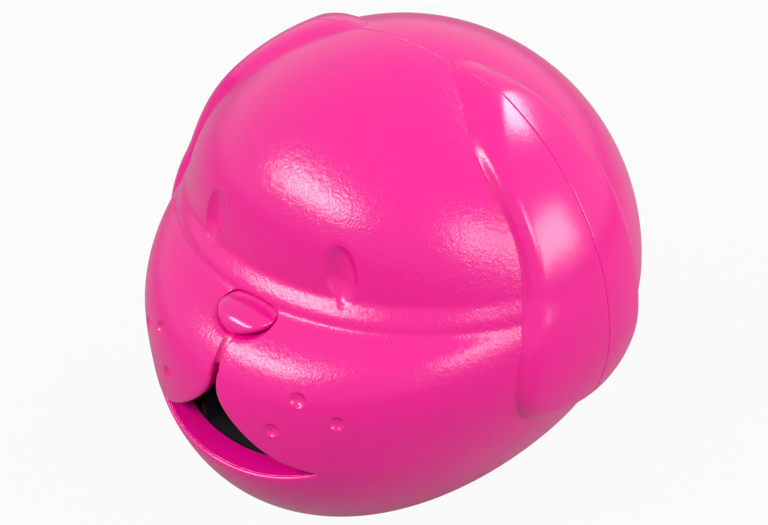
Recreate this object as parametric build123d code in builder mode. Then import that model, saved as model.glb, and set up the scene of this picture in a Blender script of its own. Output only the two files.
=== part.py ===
from build123d import *

import os
from math import atan, cos, degrees, radians, sin, sqrt, tan

# A puppy-head treat dispenser. Pressing the nose swings a flap open and the
# treats slide down a chute and out of the mouth. Millimetres; the floor is
# z = 0, the face looks along -Y, and the two head shells part at y = 0.
# "Heights" below are measured from the middle of the head.

# Head form
HEAD_MIDDLE = 56.0  # above the floor
SKULL_HALF_WIDTH = 57.9
SKULL_REAR_DEPTH = 57.6
CROWN_HEIGHT = 58.6
FACE_DEPTH = 49.4
FACE_SQUARENESS = 14
MUZZLE_DEPTH = 68.6
MUZZLE_DROP = 14.0  # the muzzle's furthest point lies this far below the middle
MUZZLE_RISE = 32.0
MUZZLE_SQUARENESS = 3.5
CHIN_REACH = 49.5
CHIN_ROUNDNESS = 1.9
JAW_REACH = 66.0
JAW_ROUNDNESS = 1.6
NAPE_REACH = 60.0
NAPE_ROUNDNESS = 1.9
BROW_HEIGHT = 17.4
BROW_RISE = 1.5
BROW_SPAN = 5.0
BROW_LEVELS = (-12.4, -8.9, -6.4, -4.6, -3.1, -1.8, -0.2, 1.9, 5.1)  # sections around the brow
VALLEY_SHARPNESS = 40
BASE_DROP = 54.0  # flat underside of the shells
WALL = 2.6
FLOOR = 4.5
FEATURE_ROOT = 1.0  # how deep inner features stay below the outer surface
OVERLAP = 1.0  # how far a cut runs past the face it starts from

# Ears, in the side view: (y, height)
EAR_THICKNESS = 2.9
EAR_TOP = 57.2
EAR_FRONT_EDGE = ((-8.5, 54.2), (-14.0, 46.5), (-17.6, 35.0), (-22.0, 19.5), (-27.0, 5.0))
EAR_BOTTOM_EDGE = ((-26.8, -6.0), (-14.0, -13.4), (2.0, -15.6), (13.5, -12.0))
EAR_REAR_EDGE = ((16.8, 4.0), (16.2, 24.0), (14.2, 42.0), (9.6, 53.2))

# Eyes: almond hollows
EYE_X = 19.0
EYE_HEIGHT = 25.8
EYE_LENGTH = 14.6
EYE_WIDTH = 8.0
EYE_DEPTH = 1.7
EYE_TILT = 10.0

# Whisker dimples: (x, height)
WHISKERS = ((21.2, 2.2), (16.3, -6.6), (29.4, -2.4))
WHISKER_RADIUS = 1.75
WHISKER_DEPTH = 0.8

# Mouth and the groove below the nose
MOUTH_HALF_WIDTH = 24.1
MOUTH_CORNER_HEIGHT = -18.4
LIP_HEIGHT = -22.8
LIP_EASE_X = 13.0
LIP_EASE_HEIGHT = -22.0
LOBE_EDGE = ((14.7, -14.5), (6.3, -8.3), (1.9, -3.2))
GROOVE_WIDTH = 1.6
GROOVE_DEPTH = 1.5
GROOVE_FOOT = 3.0  # height where the groove runs out into the mouth
LEDGE_END = 61.3
LIP_DEPTH = 10.0  # how far behind the ledge the mouth is open
LEDGE_THICKNESS = 2.4

# Nose button
NOSE_HEIGHT = 12.6
NOSE_WIDTH = 15.0
NOSE_TALL = 6.4
NOSE_REACH = 61.8
NOSE_DOME = 7.2
NOSE_CLEARANCE = 0.3
NOSE_TRAVEL = 6.0
SLEEVE_WALL = 1.4
SLEEVE_SETBACK = 0.5
SEAT_GAP = 0.3
FLANGE_OVERHANG = 2.0
FLANGE_THICKNESS = 1.6
STEM_RADIUS = 2.5
RUNNING_CLEARANCE = 0.1

# Return spring
SPRING_LENGTH = 10.4
SPRING_RADIUS = 3.95
WIRE_RADIUS = 0.4
SPRING_TURNS = 5

# Nose guide
GUIDE_THICKNESS = 2.0
GUIDE_HALF_WIDTH = 18.0
GUIDE_HALF_TALL = 6.0
GUIDE_POST_X = 14.0
GUIDE_POST_RADIUS = 3.0

# Clevis and lever
CLEVIS_GAP = 0.6
CLEVIS_LENGTH = 10.2
CLEVIS_ROOT = 2.0
CLEVIS_HALF_WIDTH = 4.0
CLEVIS_HALF_TALL = 3.2
CLEVIS_PIN_INSET = 6.9
CLEVIS_PIN_RADIUS = 1.25
LEVER_ARM = 6.8
LEVER_THICKNESS = 3.0
LEVER_PRONG = 1.4
LEVER_TIP = 2.4
SLOT_CLEARANCE = 0.2

# Flap
HUB_RADIUS = 3.2
FLAP_THICKNESS = 2.2
FLAP_SIDE_GAP = 0.5
FLAP_FLOOR_GAP = 0.6
FLAP_PIN_RADIUS = 1.5
PIN_CLEARANCE = 0.05
FIT = 0.02  # radial room of a pin or screw that is fixed in its hole
PIN_HEAD_RADIUS = 2.6
PIN_HEAD_THICKNESS = 1.0
PIN_TAIL = 2.2
CLIP_RADIUS = 3.0
CLIP_THICKNESS = 0.8

# Feed chute
CHUTE_HALF_WIDTH = 11.0
CHUTE_WALL = 1.8
CHUTE_SLOPE = 12.0
CHUTE_FLOOR_HEIGHT = -14.0  # at the flap
CHUTE_END = 61.0
CHUTE_REAR = 12.0
CHUTE_TOP = 3.0
TRAY_SIDE = 4.0
BEARING_TOP = 10.0
BEARING_HALF_LENGTH = 8.0
BEARING_SLOPE = 1.5
CHUTE_FLANGE_THICKNESS = 2.0
FLANGE_HALF_WIDTH = 23.0
THROAT_FRONT = -8.0
THROAT_REAR = 10.0
LUG_Y = -16.0
LUG_THICKNESS = 2.5
LUG_HEIGHT = -9.0
LUG_HALF_TALL = 5.0
LUG_MARGIN = 1.0
CHUTE_POST_X = 19.0
CHUTE_POST_RADIUS = 3.5

# Hopper
HOPPER_WALL = 1.8
HOPPER_FRONT = -11.6
HOPPER_FRONT_HEIGHT = 30.0
HOPPER_REAR_HEIGHT = 15.5
HOPPER_SIDE_MARGIN = 15.0  # from the widest part of the skull to the rim
HOPPER_REAR_MARGIN = 10.6  # from the furthest part of the skull to the rim
HOPPER_SCREWS = ((20.0, -6.0), (20.0, 8.0))
HOPPER_BOSS_RADIUS = 2.8
HOPPER_BOSS_HEIGHT = 3.4
HOPPER_BOSS_CAP = 0.8

# Small screws
SCREW_RADIUS = 1.1
SCREW_HEAD_RADIUS = 2.1
SCREW_HEAD_HEIGHT = 1.5
SCREW_BITE = 6.0
SCREW_END_GAP = 0.2

# Shell screws and their bosses: (x, height)
SHELL_SCREWS = ((44.0, -4.0), (28.0, -36.0))
SHELL_SCREW_RADIUS = 1.5
SHELL_SCREW_HEAD_RADIUS = 2.8
SHELL_SCREW_HEAD_HEIGHT = 2.2
SHELL_SCREW_BITE = 10.0
SHELL_SCREW_SEAT = 12.0
FRONT_BOSS_RADIUS = 3.8
REAR_BOSS_RADIUS = 4.6
TUNNEL_RADIUS = 3.2

# Fill door at the back
DOOR_ANGLE = 32.0
DOOR_RADIUS = 16.0
DOOR_CLEARANCE = 0.5
DOOR_OPEN = 100.0
SKIRT_RADIUS = 14.6
SKIRT_WALL = 1.4
SKIRT_DEPTH = 3.4
SEAL_THICKNESS = 1.3
SEAL_TALL = 1.6
HINGE_PIN_RADIUS = 0.8
HINGE_BARREL_RADIUS = 1.9
HINGE_HALF_LENGTH = 4.5
HINGE_OFFSET = 3.0
HINGE_SIDE_GAP = 0.3
HINGE_NOTCH_REACH = 3.3
HINGE_LUG_WIDTH = 3.5

# Base
BASE_Y = -5.0
BASE_PLATE_RADIUS = 23.7
BASE_PLATE_THICKNESS = 2.0
BASE_CLEARANCE = 0.3
BALLAST_RADIUS = 14.5
BALLAST_HEIGHT = 8.0
BALLAST_CHAMFER = 0.8
BALLAST_OPENING_CLEARANCE = 0.5
BASE_SCREW_CIRCLE = 19.0
BASE_SCREW_COUNT = 4
BASE_SCREW_HEAD_RADIUS = 2.2
BASE_BOSS_RADIUS = 2.9
BASE_BOSS_HEIGHT = 4.0
BALLAST_SCREW_RADIUS = 2.0
BALLAST_SCREW_HEAD_RADIUS = 4.0
PAD_RADIUS = 22.5

# Places that follow from the sizes
NOSE_Z = HEAD_MIDDLE + NOSE_HEIGHT
SLEEVE_END = -(FACE_DEPTH - WALL - SLEEVE_SETBACK)
FLANGE_FRONT = SLEEVE_END + SEAT_GAP
FLANGE_REAR = FLANGE_FRONT + FLANGE_THICKNESS
GUIDE_FRONT = FLANGE_REAR + SPRING_LENGTH
GUIDE_REAR = GUIDE_FRONT + GUIDE_THICKNESS
CLEVIS_FRONT = GUIDE_REAR + CLEVIS_GAP
CLEVIS_PIN_Y = CLEVIS_FRONT + CLEVIS_PIN_INSET
PIVOT_Y = CLEVIS_PIN_Y + NOSE_TRAVEL / 2
PIVOT_Z = NOSE_Z - LEVER_ARM
LEVER_SWING = degrees(atan(NOSE_TRAVEL / 2 / LEVER_ARM))
DOOR_AXIS = (0, cos(radians(DOOR_ANGLE)), sin(radians(DOOR_ANGLE)))
DOOR_PLANE = Plane(origin=(0, 0, HEAD_MIDDLE), x_dir=(1, 0, 0), z_dir=DOOR_AXIS)
HINGE_Y = DOOR_RADIUS + HINGE_OFFSET
HOPPER_RIM_HALF_WIDTH = SKULL_HALF_WIDTH - HOPPER_SIDE_MARGIN
HOPPER_REAR = SKULL_REAR_DEPTH - HOPPER_REAR_MARGIN
UNDERSIDE_Z = HEAD_MIDDLE - BASE_DROP
PLATE_TOP_Z = UNDERSIDE_Z + BASE_PLATE_THICKNESS
FAR = 2 * SKULL_HALF_WIDTH  # longer than any cut has to be


def bulge(size, reach, roundness, height):
    """Half size of a rounded body at a height, given its full half size and its reach."""
    share = min(abs(height) / reach, 1.0)
    return size * (1 - share**roundness) ** (1 / roundness)


def half_width(height, inset):
    """Half width of the head, drawn in by inset from its outer surface."""
    if height >= 0:
        return bulge(SKULL_HALF_WIDTH - inset, CROWN_HEIGHT - inset, 2, height)
    return bulge(SKULL_HALF_WIDTH - inset, JAW_REACH - inset, JAW_ROUNDNESS, height)


def rear_depth(height, inset):
    """Depth of the back of the head behind the seam."""
    if height >= 0:
        return bulge(SKULL_REAR_DEPTH - inset, CROWN_HEIGHT - inset, 2, height)
    return bulge(SKULL_REAR_DEPTH - inset, NAPE_REACH - inset, NAPE_ROUNDNESS, height)


def front_depth(height, inset):
    """Depth of the face in front of the seam: forehead, brow ridge, valley and muzzle."""
    crown = bulge(CROWN_HEIGHT - inset, CROWN_HEIGHT - inset, 2, height)
    face = FACE_DEPTH - inset
    skull = 0
    if crown > 0:
        skull = (crown**-FACE_SQUARENESS + face**-FACE_SQUARENESS) ** (-1 / FACE_SQUARENESS)
    from_brow = min(abs(height - BROW_HEIGHT) / BROW_SPAN, 1.0)
    skull += BROW_RISE * (1 - from_brow**2) ** 2
    above_tip = height + MUZZLE_DROP
    depth = MUZZLE_DEPTH - inset
    if above_tip > 0:
        muzzle = bulge(depth, MUZZLE_RISE - inset, MUZZLE_SQUARENESS, above_tip)
    else:
        muzzle = bulge(depth, CHIN_REACH - inset, CHIN_ROUNDNESS, above_tip)
    return (skull**VALLEY_SHARPNESS + muzzle**VALLEY_SHARPNESS) ** (1 / VALLEY_SHARPNESS)


def face_y(x, height, inset=0):
    """Y of the face's surface at a place seen from the front."""
    return -front_depth(height, inset) * sqrt(1 - (x / half_width(height, inset)) ** 2)


def door_reach(x, y, inset=0):
    """How far the upper back's surface lies along the door's axis, at a place in the door's plane."""
    skull = (SKULL_HALF_WIDTH, SKULL_REAR_DEPTH, CROWN_HEIGHT)
    width, depth, crown = (size - inset for size in skull)
    along, across = cos(radians(DOOR_ANGLE)), sin(radians(DOOR_ANGLE))
    square = (along / depth) ** 2 + (across / crown) ** 2
    linear = 2 * y * along * across * (1 / depth**2 - 1 / crown**2)
    rest = (x / width) ** 2 + (y * across / depth) ** 2 + (y * along / crown) ** 2 - 1
    return (-linear + sqrt(linear**2 - 4 * square * rest)) / (2 * square)


def head_levels(inset, drop, rear):
    """Heights of the head's sections: even on the round parts and close at the brow."""
    crown = CROWN_HEIGHT - inset
    low = [-drop * step / 6 for step in range(6, 0, -1)]
    if rear:
        middle = [0, crown / 6, crown / 3]
    else:
        middle = [0, *(BROW_HEIGHT + level for level in BROW_LEVELS)]
    high = [crown * sin(radians(angle)) for angle in (30, 40, 50, 60, 70, 79, 86, 89)]
    return low + middle + high


def head_half(inset, rear=False, drop=BASE_DROP):
    """The solid front or rear half of the head, drawn in by inset."""
    with BuildPart() as half:
        for height in head_levels(inset, drop, rear):
            width = half_width(height, inset)
            depth = rear_depth(height, inset) if rear else front_depth(height, inset)
            with BuildSketch(Plane.XY.offset(HEAD_MIDDLE + height)):
                with BuildLine():
                    start = 0 if rear else 180
                    EllipticalCenterArc((0, 0), width, depth, start_angle=start, arc_size=180)
                    Line((-width, 0), (width, 0))
                make_face()
        loft()
    return half.part


def ear_lobes(rear):
    """The raised ears of one shell, rooted in its wall."""
    with BuildPart() as lobes:
        with BuildSketch(Plane.YZ.offset(-FAR)):
            with BuildLine():
                points = [(0, EAR_TOP), *EAR_FRONT_EDGE, *EAR_BOTTOM_EDGE, *EAR_REAR_EDGE]
                raised = [(y, HEAD_MIDDLE + height) for y, height in points]
                Spline(*raised, periodic=True)
            make_face()
        extrude(amount=2 * FAR)
        add(head_half(-EAR_THICKNESS, rear), mode=Mode.INTERSECT)
        add(head_half(FEATURE_ROOT, rear), mode=Mode.SUBTRACT)
    return lobes.part


def rod(x, height, radius, start, end):
    """A round rod along Y from start to end: a post, or the tool for a hole."""
    with BuildPart() as body:
        with BuildSketch(Plane.XZ.offset(-max(start, end))):
            with Locations((x, HEAD_MIDDLE + height)):
                Circle(radius)
        extrude(amount=abs(start - end))
    return body.part


def both_sides(places):
    """Each (x, height) place and its mirror image."""
    return [(side * x, height) for x, height in places for side in (-1, 1)]


# ---------------------------------------------------------------- front shell
with BuildPart() as front_fittings:
    # bosses for the shell screws, the chute screws and the guide screws
    for x, height in both_sides(SHELL_SCREWS):
        add(rod(x, height, FRONT_BOSS_RADIUS, 0, -FAR))
    for side in (-1, 1):
        add(rod(side * CHUTE_POST_X, LUG_HEIGHT, CHUTE_POST_RADIUS, LUG_Y, -FAR))
        add(rod(side * GUIDE_POST_X, NOSE_HEIGHT, GUIDE_POST_RADIUS, GUIDE_FRONT, -FAR))
    # sleeve that the nose slides in
    with BuildSketch(Plane.XZ.offset(-SLEEVE_END)):
        with Locations((0, NOSE_Z)):
            Ellipse(
                NOSE_WIDTH / 2 + NOSE_CLEARANCE + SLEEVE_WALL,
                NOSE_TALL / 2 + NOSE_CLEARANCE + SLEEVE_WALL,
            )
    extrude(amount=FAR)
    # ledge behind the lower lip
    with BuildSketch(Plane.XZ.offset(LEDGE_END)):
        with Locations((0, HEAD_MIDDLE + LIP_HEIGHT - LEDGE_THICKNESS / 2)):
            Rectangle(2 * MOUTH_HALF_WIDTH, LEDGE_THICKNESS)
    extrude(amount=FAR)
    # bosses for the base screws
    with BuildSketch(Plane.XY.offset(PLATE_TOP_Z)):
        with Locations((0, BASE_Y)):
            with PolarLocations(BASE_SCREW_CIRCLE, BASE_SCREW_COUNT, start_angle=45):
                Circle(BASE_BOSS_RADIUS)
        with Locations((0, FAR / 2)):
            Rectangle(FAR, FAR, mode=Mode.SUBTRACT)
    extrude(amount=FLOOR - BASE_PLATE_THICKNESS + BASE_BOSS_HEIGHT)
    add(head_half(FEATURE_ROOT), mode=Mode.INTERSECT)

with BuildPart() as front_shell:
    add(head_half(0))
    add(head_half(WALL, drop=BASE_DROP - FLOOR), mode=Mode.SUBTRACT)
    add(ear_lobes(rear=False))
    add(front_fittings.part)

    # mouth: two round lobes above, the lip below
    with BuildSketch(Plane.XZ.offset(LEDGE_END - LIP_DEPTH)):
        with BuildLine():
            middle = HEAD_MIDDLE
            corner = (MOUTH_HALF_WIDTH, middle + MOUTH_CORNER_HEIGHT)
            top = (GROOVE_WIDTH / 2, middle + GROOVE_FOOT)
            lobe = [(x, middle + height) for x, height in LOBE_EDGE]
            ease = (LIP_EASE_X, middle + LIP_EASE_HEIGHT)
            lip = (0, middle + LIP_HEIGHT)
            Spline(corner, *lobe, top)
            Spline(*[(-x, z) for x, z in (top, *reversed(lobe), corner)])
            Spline((-corner[0], corner[1]), (-ease[0], ease[1]), lip, ease, corner)
            Line((-top[0], top[1]), top)
        make_face()
    extrude(amount=FAR, mode=Mode.SUBTRACT)

    # opening for the nose
    with BuildSketch(Plane.XZ.offset(-SLEEVE_END)):
        with Locations((0, NOSE_Z)):
            Ellipse(NOSE_WIDTH / 2 + NOSE_CLEARANCE, NOSE_TALL / 2 + NOSE_CLEARANCE)
    extrude(amount=FAR, mode=Mode.SUBTRACT)

    # pilot holes
    for x, height in both_sides(SHELL_SCREWS):
        add(rod(x, height, SHELL_SCREW_RADIUS + FIT, 0, -SHELL_SCREW_BITE), mode=Mode.SUBTRACT)
    small_posts = (
        (CHUTE_POST_X, LUG_HEIGHT, LUG_Y),
        (GUIDE_POST_X, NOSE_HEIGHT, GUIDE_FRONT),
    )
    for x, height, face in small_posts:
        for side in (-1, 1):
            pilot = rod(side * x, height, SCREW_RADIUS + FIT, face, face - SCREW_BITE)
            add(pilot, mode=Mode.SUBTRACT)


def cut_groove():
    """The tool that cuts the groove from the nose down to the mouth."""
    with BuildPart() as groove:
        with BuildSketch(Plane.XZ.offset(FACE_DEPTH)):
            low = HEAD_MIDDLE + GROOVE_FOOT - OVERLAP
            with Locations((0, (low + NOSE_Z) / 2)):
                Rectangle(GROOVE_WIDTH, NOSE_Z - low)
        extrude(amount=FAR)
        add(head_half(GROOVE_DEPTH), mode=Mode.SUBTRACT)
    return groove.part


def eye_tool(side):
    """A spindle that scoops one almond-shaped eye."""
    chord = EYE_WIDTH / 2
    radius = (chord**2 + EYE_DEPTH**2) / (2 * EYE_DEPTH)
    lift = radius - EYE_DEPTH
    half_length = EYE_LENGTH / 2 / sqrt(1 - (lift / radius) ** 2)
    x = side * EYE_X
    y = face_y(x, EYE_HEIGHT)
    step = 0.5
    slope_x = (face_y(x + step, EYE_HEIGHT) - face_y(x - step, EYE_HEIGHT)) / (2 * step)
    slope_z = (face_y(x, EYE_HEIGHT + step) - face_y(x, EYE_HEIGHT - step)) / (2 * step)
    outward = Vector(slope_x, -1, slope_z).normalized()
    tilt = radians(EYE_TILT)
    up = Vector(-side * sin(tilt), 0, cos(tilt))
    up = (up - outward * up.dot(outward)).normalized()
    centre = Vector(x, y, HEAD_MIDDLE + EYE_HEIGHT) + outward * lift
    spindle = Plane(origin=centre, x_dir=up, z_dir=up.cross(outward))
    with BuildPart() as tool:
        with BuildSketch(spindle):
            with BuildLine():
                EllipticalCenterArc((0, 0), half_length, radius, start_angle=0, arc_size=180)
                Line((-half_length, 0), (half_length, 0))
            make_face()
        revolve(axis=Axis(centre, up))
    return tool.part


def whisker_tool(x, height):
    """A ball that leaves one round dimple."""
    radius = (WHISKER_RADIUS**2 + WHISKER_DEPTH**2) / (2 * WHISKER_DEPTH)
    centre = Vector(x, face_y(x, height), HEAD_MIDDLE + height)
    outward = (centre - Vector(0, 0, HEAD_MIDDLE)).normalized()
    with BuildPart() as tool:
        with Locations(centre + outward * (radius - WHISKER_DEPTH)):
            Sphere(radius)
    return tool.part


def base_recess():
    """The room for the base plate, the ballast and the base screws in the shells' floor."""
    with BuildPart() as recess:
        with BuildSketch(Plane.XY.offset(UNDERSIDE_Z - OVERLAP)):
            with Locations((0, BASE_Y)):
                Circle(BASE_PLATE_RADIUS + BASE_CLEARANCE)
        extrude(amount=BASE_PLATE_THICKNESS + OVERLAP)
        with BuildSketch(Plane.XY.offset(PLATE_TOP_Z - OVERLAP)):
            with Locations((0, BASE_Y)):
                Circle(BALLAST_RADIUS + BALLAST_OPENING_CLEARANCE)
                with PolarLocations(BASE_SCREW_CIRCLE, BASE_SCREW_COUNT, start_angle=45):
                    Circle(SCREW_RADIUS + FIT)
        extrude(amount=OVERLAP + SCREW_BITE)
    return recess.part


with front_shell:
    add(cut_groove(), mode=Mode.SUBTRACT)
    for side in (-1, 1):
        add(eye_tool(side), mode=Mode.SUBTRACT)
    for x, height in both_sides(WHISKERS):
        add(whisker_tool(x, height), mode=Mode.SUBTRACT)
    add(base_recess(), mode=Mode.SUBTRACT)


# ----------------------------------------------------------------- rear shell
HINGE_Z = door_reach(0, HINGE_Y)  # the pin lies in the outer surface
OPENING_FLOOR = HINGE_Z - 2 * WALL
pin = DOOR_PLANE.from_local_coords((0, HINGE_Y, HINGE_Z))

with BuildPart() as rear_fittings:
    for x, height in both_sides(SHELL_SCREWS):
        add(rod(x, height, REAR_BOSS_RADIUS, FAR, 0))
    with BuildSketch(Plane.XY.offset(PLATE_TOP_Z)):
        with Locations((0, BASE_Y)):
            with PolarLocations(BASE_SCREW_CIRCLE, BASE_SCREW_COUNT, start_angle=45):
                Circle(BASE_BOSS_RADIUS)
        with Locations((0, -FAR / 2)):
            Rectangle(FAR, FAR, mode=Mode.SUBTRACT)
    extrude(amount=FLOOR - BASE_PLATE_THICKNESS + BASE_BOSS_HEIGHT)
    add(head_half(FEATURE_ROOT, rear=True), mode=Mode.INTERSECT)

with BuildPart() as hinge_lugs:
    # eyes beside the notch that hold the hinge pin
    lug_reach = HINGE_HALF_LENGTH + HINGE_SIDE_GAP + HINGE_LUG_WIDTH
    for start in (-lug_reach, lug_reach - HINGE_LUG_WIDTH):
        with BuildSketch(Plane.YZ.offset(start)):
            with Locations(Location((pin.Y, pin.Z), DOOR_ANGLE)):
                Circle(HINGE_BARREL_RADIUS)
                with Locations((-WALL / 2, 0)):
                    Rectangle(WALL, 2 * HINGE_BARREL_RADIUS)
        extrude(amount=HINGE_LUG_WIDTH)

with BuildPart() as rear_shell:
    add(head_half(0, rear=True))
    add(head_half(WALL, rear=True, drop=BASE_DROP - FLOOR), mode=Mode.SUBTRACT)
    add(ear_lobes(rear=True))
    add(rear_fittings.part)
    add(hinge_lugs.part)
    clear_hole = SHELL_SCREW_RADIUS + 2 * RUNNING_CLEARANCE
    for x, height in both_sides(SHELL_SCREWS):
        add(rod(x, height, clear_hole, SHELL_SCREW_SEAT, 0), mode=Mode.SUBTRACT)
        add(rod(x, height, TUNNEL_RADIUS, FAR, SHELL_SCREW_SEAT), mode=Mode.SUBTRACT)
    # opening and hinge notch
    with BuildSketch(DOOR_PLANE.offset(OPENING_FLOOR)):
        Circle(DOOR_RADIUS + DOOR_CLEARANCE)
        notch_end = HINGE_Y + HINGE_NOTCH_REACH
        with Locations((0, notch_end / 2)):
            Rectangle(2 * (HINGE_HALF_LENGTH + HINGE_SIDE_GAP), notch_end)
    extrude(amount=FAR, mode=Mode.SUBTRACT)
    with BuildSketch(Plane.YZ.offset(-FAR)):
        with Locations((pin.Y, pin.Z)):
            Circle(HINGE_PIN_RADIUS + FIT)
    extrude(amount=2 * FAR, mode=Mode.SUBTRACT)
    add(base_recess(), mode=Mode.SUBTRACT)


# ------------------------------------------------------------------ fill door
skirt_places = ((0, SKIRT_RADIUS), (0, -SKIRT_RADIUS), (SKIRT_RADIUS, 0))
rim = min(door_reach(x, y, WALL) for x, y in skirt_places)

with BuildPart() as skirt:
    # ring inside the door that carries the seal
    with BuildSketch(DOOR_PLANE.offset(rim - SKIRT_DEPTH)):
        Circle(SKIRT_RADIUS)
        Circle(SKIRT_RADIUS - SKIRT_WALL, mode=Mode.SUBTRACT)
    extrude(amount=FAR)
    add(head_half(FEATURE_ROOT, rear=True), mode=Mode.INTERSECT)

with BuildPart() as fill_door:
    add(head_half(0, rear=True))
    add(head_half(WALL, rear=True), mode=Mode.SUBTRACT)
    with BuildSketch(DOOR_PLANE.offset(OPENING_FLOOR)):
        Circle(DOOR_RADIUS)
        with Locations((0, HINGE_Y / 2)):
            Rectangle(2 * HINGE_HALF_LENGTH, HINGE_Y)
    extrude(amount=FAR, mode=Mode.INTERSECT)
    # barrel around the hinge pin
    with BuildSketch(Plane.YZ.offset(-HINGE_HALF_LENGTH)):
        with Locations((pin.Y, pin.Z)):
            Circle(HINGE_BARREL_RADIUS)
    extrude(amount=2 * HINGE_HALF_LENGTH)
    add(skirt.part)
    with BuildSketch(Plane.YZ.offset(-FAR)):
        with Locations((pin.Y, pin.Z)):
            Circle(HINGE_PIN_RADIUS + PIN_CLEARANCE)
    extrude(amount=2 * FAR, mode=Mode.SUBTRACT)

with BuildPart() as door_seal:
    with BuildSketch(DOOR_PLANE.offset(rim - SKIRT_DEPTH / 2 - SEAL_TALL / 2)):
        Circle(SKIRT_RADIUS + SEAL_THICKNESS)
        Circle(SKIRT_RADIUS, mode=Mode.SUBTRACT)
    extrude(amount=SEAL_TALL)

with BuildPart() as hinge_pin:
    pin_reach = HINGE_HALF_LENGTH + HINGE_SIDE_GAP + HINGE_LUG_WIDTH
    with BuildSketch(Plane.YZ.offset(-pin_reach)):
        with Locations((pin.Y, pin.Z)):
            Circle(HINGE_PIN_RADIUS)
    extrude(amount=2 * pin_reach)


# ---------------------------------------------------------------- nose button
with BuildPart() as nose_dome:
    # dome: half an egg on the end of the shaft
    dome_root = -(NOSE_REACH - NOSE_DOME)
    Sphere(1)
    scale(by=(NOSE_WIDTH / 2, NOSE_DOME, NOSE_TALL / 2))
    split(bisect_by=Plane.XZ, keep=Keep.TOP)

with BuildPart() as nose_button:
    add(nose_dome.part.moved(Location((0, dome_root, NOSE_Z))))
    # shaft, flange and stem
    with BuildSketch(Plane.XZ.offset(-FLANGE_FRONT)):
        with Locations((0, NOSE_Z)):
            Ellipse(NOSE_WIDTH / 2, NOSE_TALL / 2)
    extrude(amount=FLANGE_FRONT - dome_root)
    with BuildSketch(Plane.XZ.offset(-FLANGE_REAR)):
        with Locations((0, NOSE_Z)):
            Ellipse(NOSE_WIDTH / 2 + FLANGE_OVERHANG, NOSE_TALL / 2 + FLANGE_OVERHANG)
    extrude(amount=FLANGE_THICKNESS)
    add(rod(0, NOSE_HEIGHT, STEM_RADIUS, CLEVIS_FRONT, FLANGE_REAR))
    # clevis at the end of the stem
    clevis_middle = CLEVIS_FRONT + CLEVIS_LENGTH / 2
    with Locations((0, clevis_middle, NOSE_Z)):
        Box(2 * CLEVIS_HALF_WIDTH, CLEVIS_LENGTH, 2 * CLEVIS_HALF_TALL)
    slot_half = LEVER_THICKNESS / 2 + 2 * SLOT_CLEARANCE
    slot_length = CLEVIS_LENGTH - CLEVIS_ROOT
    with Locations((0, CLEVIS_FRONT + CLEVIS_ROOT + slot_length / 2, NOSE_Z)):
        Box(2 * slot_half, slot_length, 2 * CLEVIS_HALF_TALL, mode=Mode.SUBTRACT)
    with BuildSketch(Plane.YZ.offset(-FAR)):
        with Locations((CLEVIS_PIN_Y, NOSE_Z)):
            Circle(CLEVIS_PIN_RADIUS + FIT)
    extrude(amount=2 * FAR, mode=Mode.SUBTRACT)

with BuildPart() as clevis_pin:
    with BuildSketch(Plane.YZ.offset(-CLEVIS_HALF_WIDTH)):
        with Locations((CLEVIS_PIN_Y, NOSE_Z)):
            Circle(CLEVIS_PIN_RADIUS)
    extrude(amount=2 * CLEVIS_HALF_WIDTH)

with BuildPart() as nose_spring:
    coil_length = SPRING_LENGTH - 2 * WIRE_RADIUS - 2 * RUNNING_CLEARANCE
    coil_start = (0, FLANGE_REAR + WIRE_RADIUS + RUNNING_CLEARANCE, NOSE_Z)
    pitch = coil_length / SPRING_TURNS
    with BuildLine() as wire:
        Helix(pitch, coil_length, SPRING_RADIUS, center=coil_start, direction=(0, 1, 0))
    with BuildSketch(Plane(origin=wire.line @ 0, z_dir=wire.line % 0)):
        RegularPolygon(WIRE_RADIUS, 6)
    sweep(is_frenet=True)


# ----------------------------------------------------------------- nose guide
with BuildPart() as nose_guide:
    with BuildSketch(Plane.XZ.offset(-GUIDE_REAR)):
        with Locations((0, NOSE_Z)):
            RectangleRounded(2 * GUIDE_HALF_WIDTH, 2 * GUIDE_HALF_TALL, GUIDE_POST_RADIUS)
            Circle(STEM_RADIUS + RUNNING_CLEARANCE, mode=Mode.SUBTRACT)
        with Locations((GUIDE_POST_X, NOSE_Z), (-GUIDE_POST_X, NOSE_Z)):
            Circle(SCREW_RADIUS + RUNNING_CLEARANCE, mode=Mode.SUBTRACT)
    extrude(amount=GUIDE_THICKNESS)


def screw(radius, length, head_radius, head_height):
    """A pan-head screw along +Z with its head's seat at the origin."""
    with BuildPart() as body:
        Cylinder(head_radius, head_height, align=(Align.CENTER, Align.CENTER, Align.MIN))
        Cylinder(radius, length, align=(Align.CENTER, Align.CENTER, Align.MAX))
        chamfer(body.faces().sort_by(Axis.Z)[-1].edges(), head_height / 4)
        slot = head_radius * 1.1
        with Locations((0, 0, head_height)):
            for turn in (0, 90):
                Box(slot, head_radius / 4, head_height, rotation=(0, 0, turn), mode=Mode.SUBTRACT)
    return body.part


small_length = SCREW_BITE + GUIDE_THICKNESS - SCREW_END_GAP
small_screw = screw(SCREW_RADIUS, small_length, SCREW_HEAD_RADIUS, SCREW_HEAD_HEIGHT)

with BuildPart() as guide_screws:
    for side in (-1, 1):
        seat = Plane(origin=(side * GUIDE_POST_X, GUIDE_REAR, NOSE_Z), z_dir=(0, 1, 0))
        add(small_screw.moved(seat.location))


# ----------------------------------------------------------- dispensing flap
def floor_height(y):
    """Height of the chute's floor above the floor that the head stands on."""
    return HEAD_MIDDLE + CHUTE_FLOOR_HEIGHT + (y - PIVOT_Y) * tan(radians(CHUTE_SLOPE))


flap_half_width = CHUTE_HALF_WIDTH - FLAP_SIDE_GAP
flap_length = PIVOT_Z - floor_height(PIVOT_Y) - FLAP_FLOOR_GAP

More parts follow.
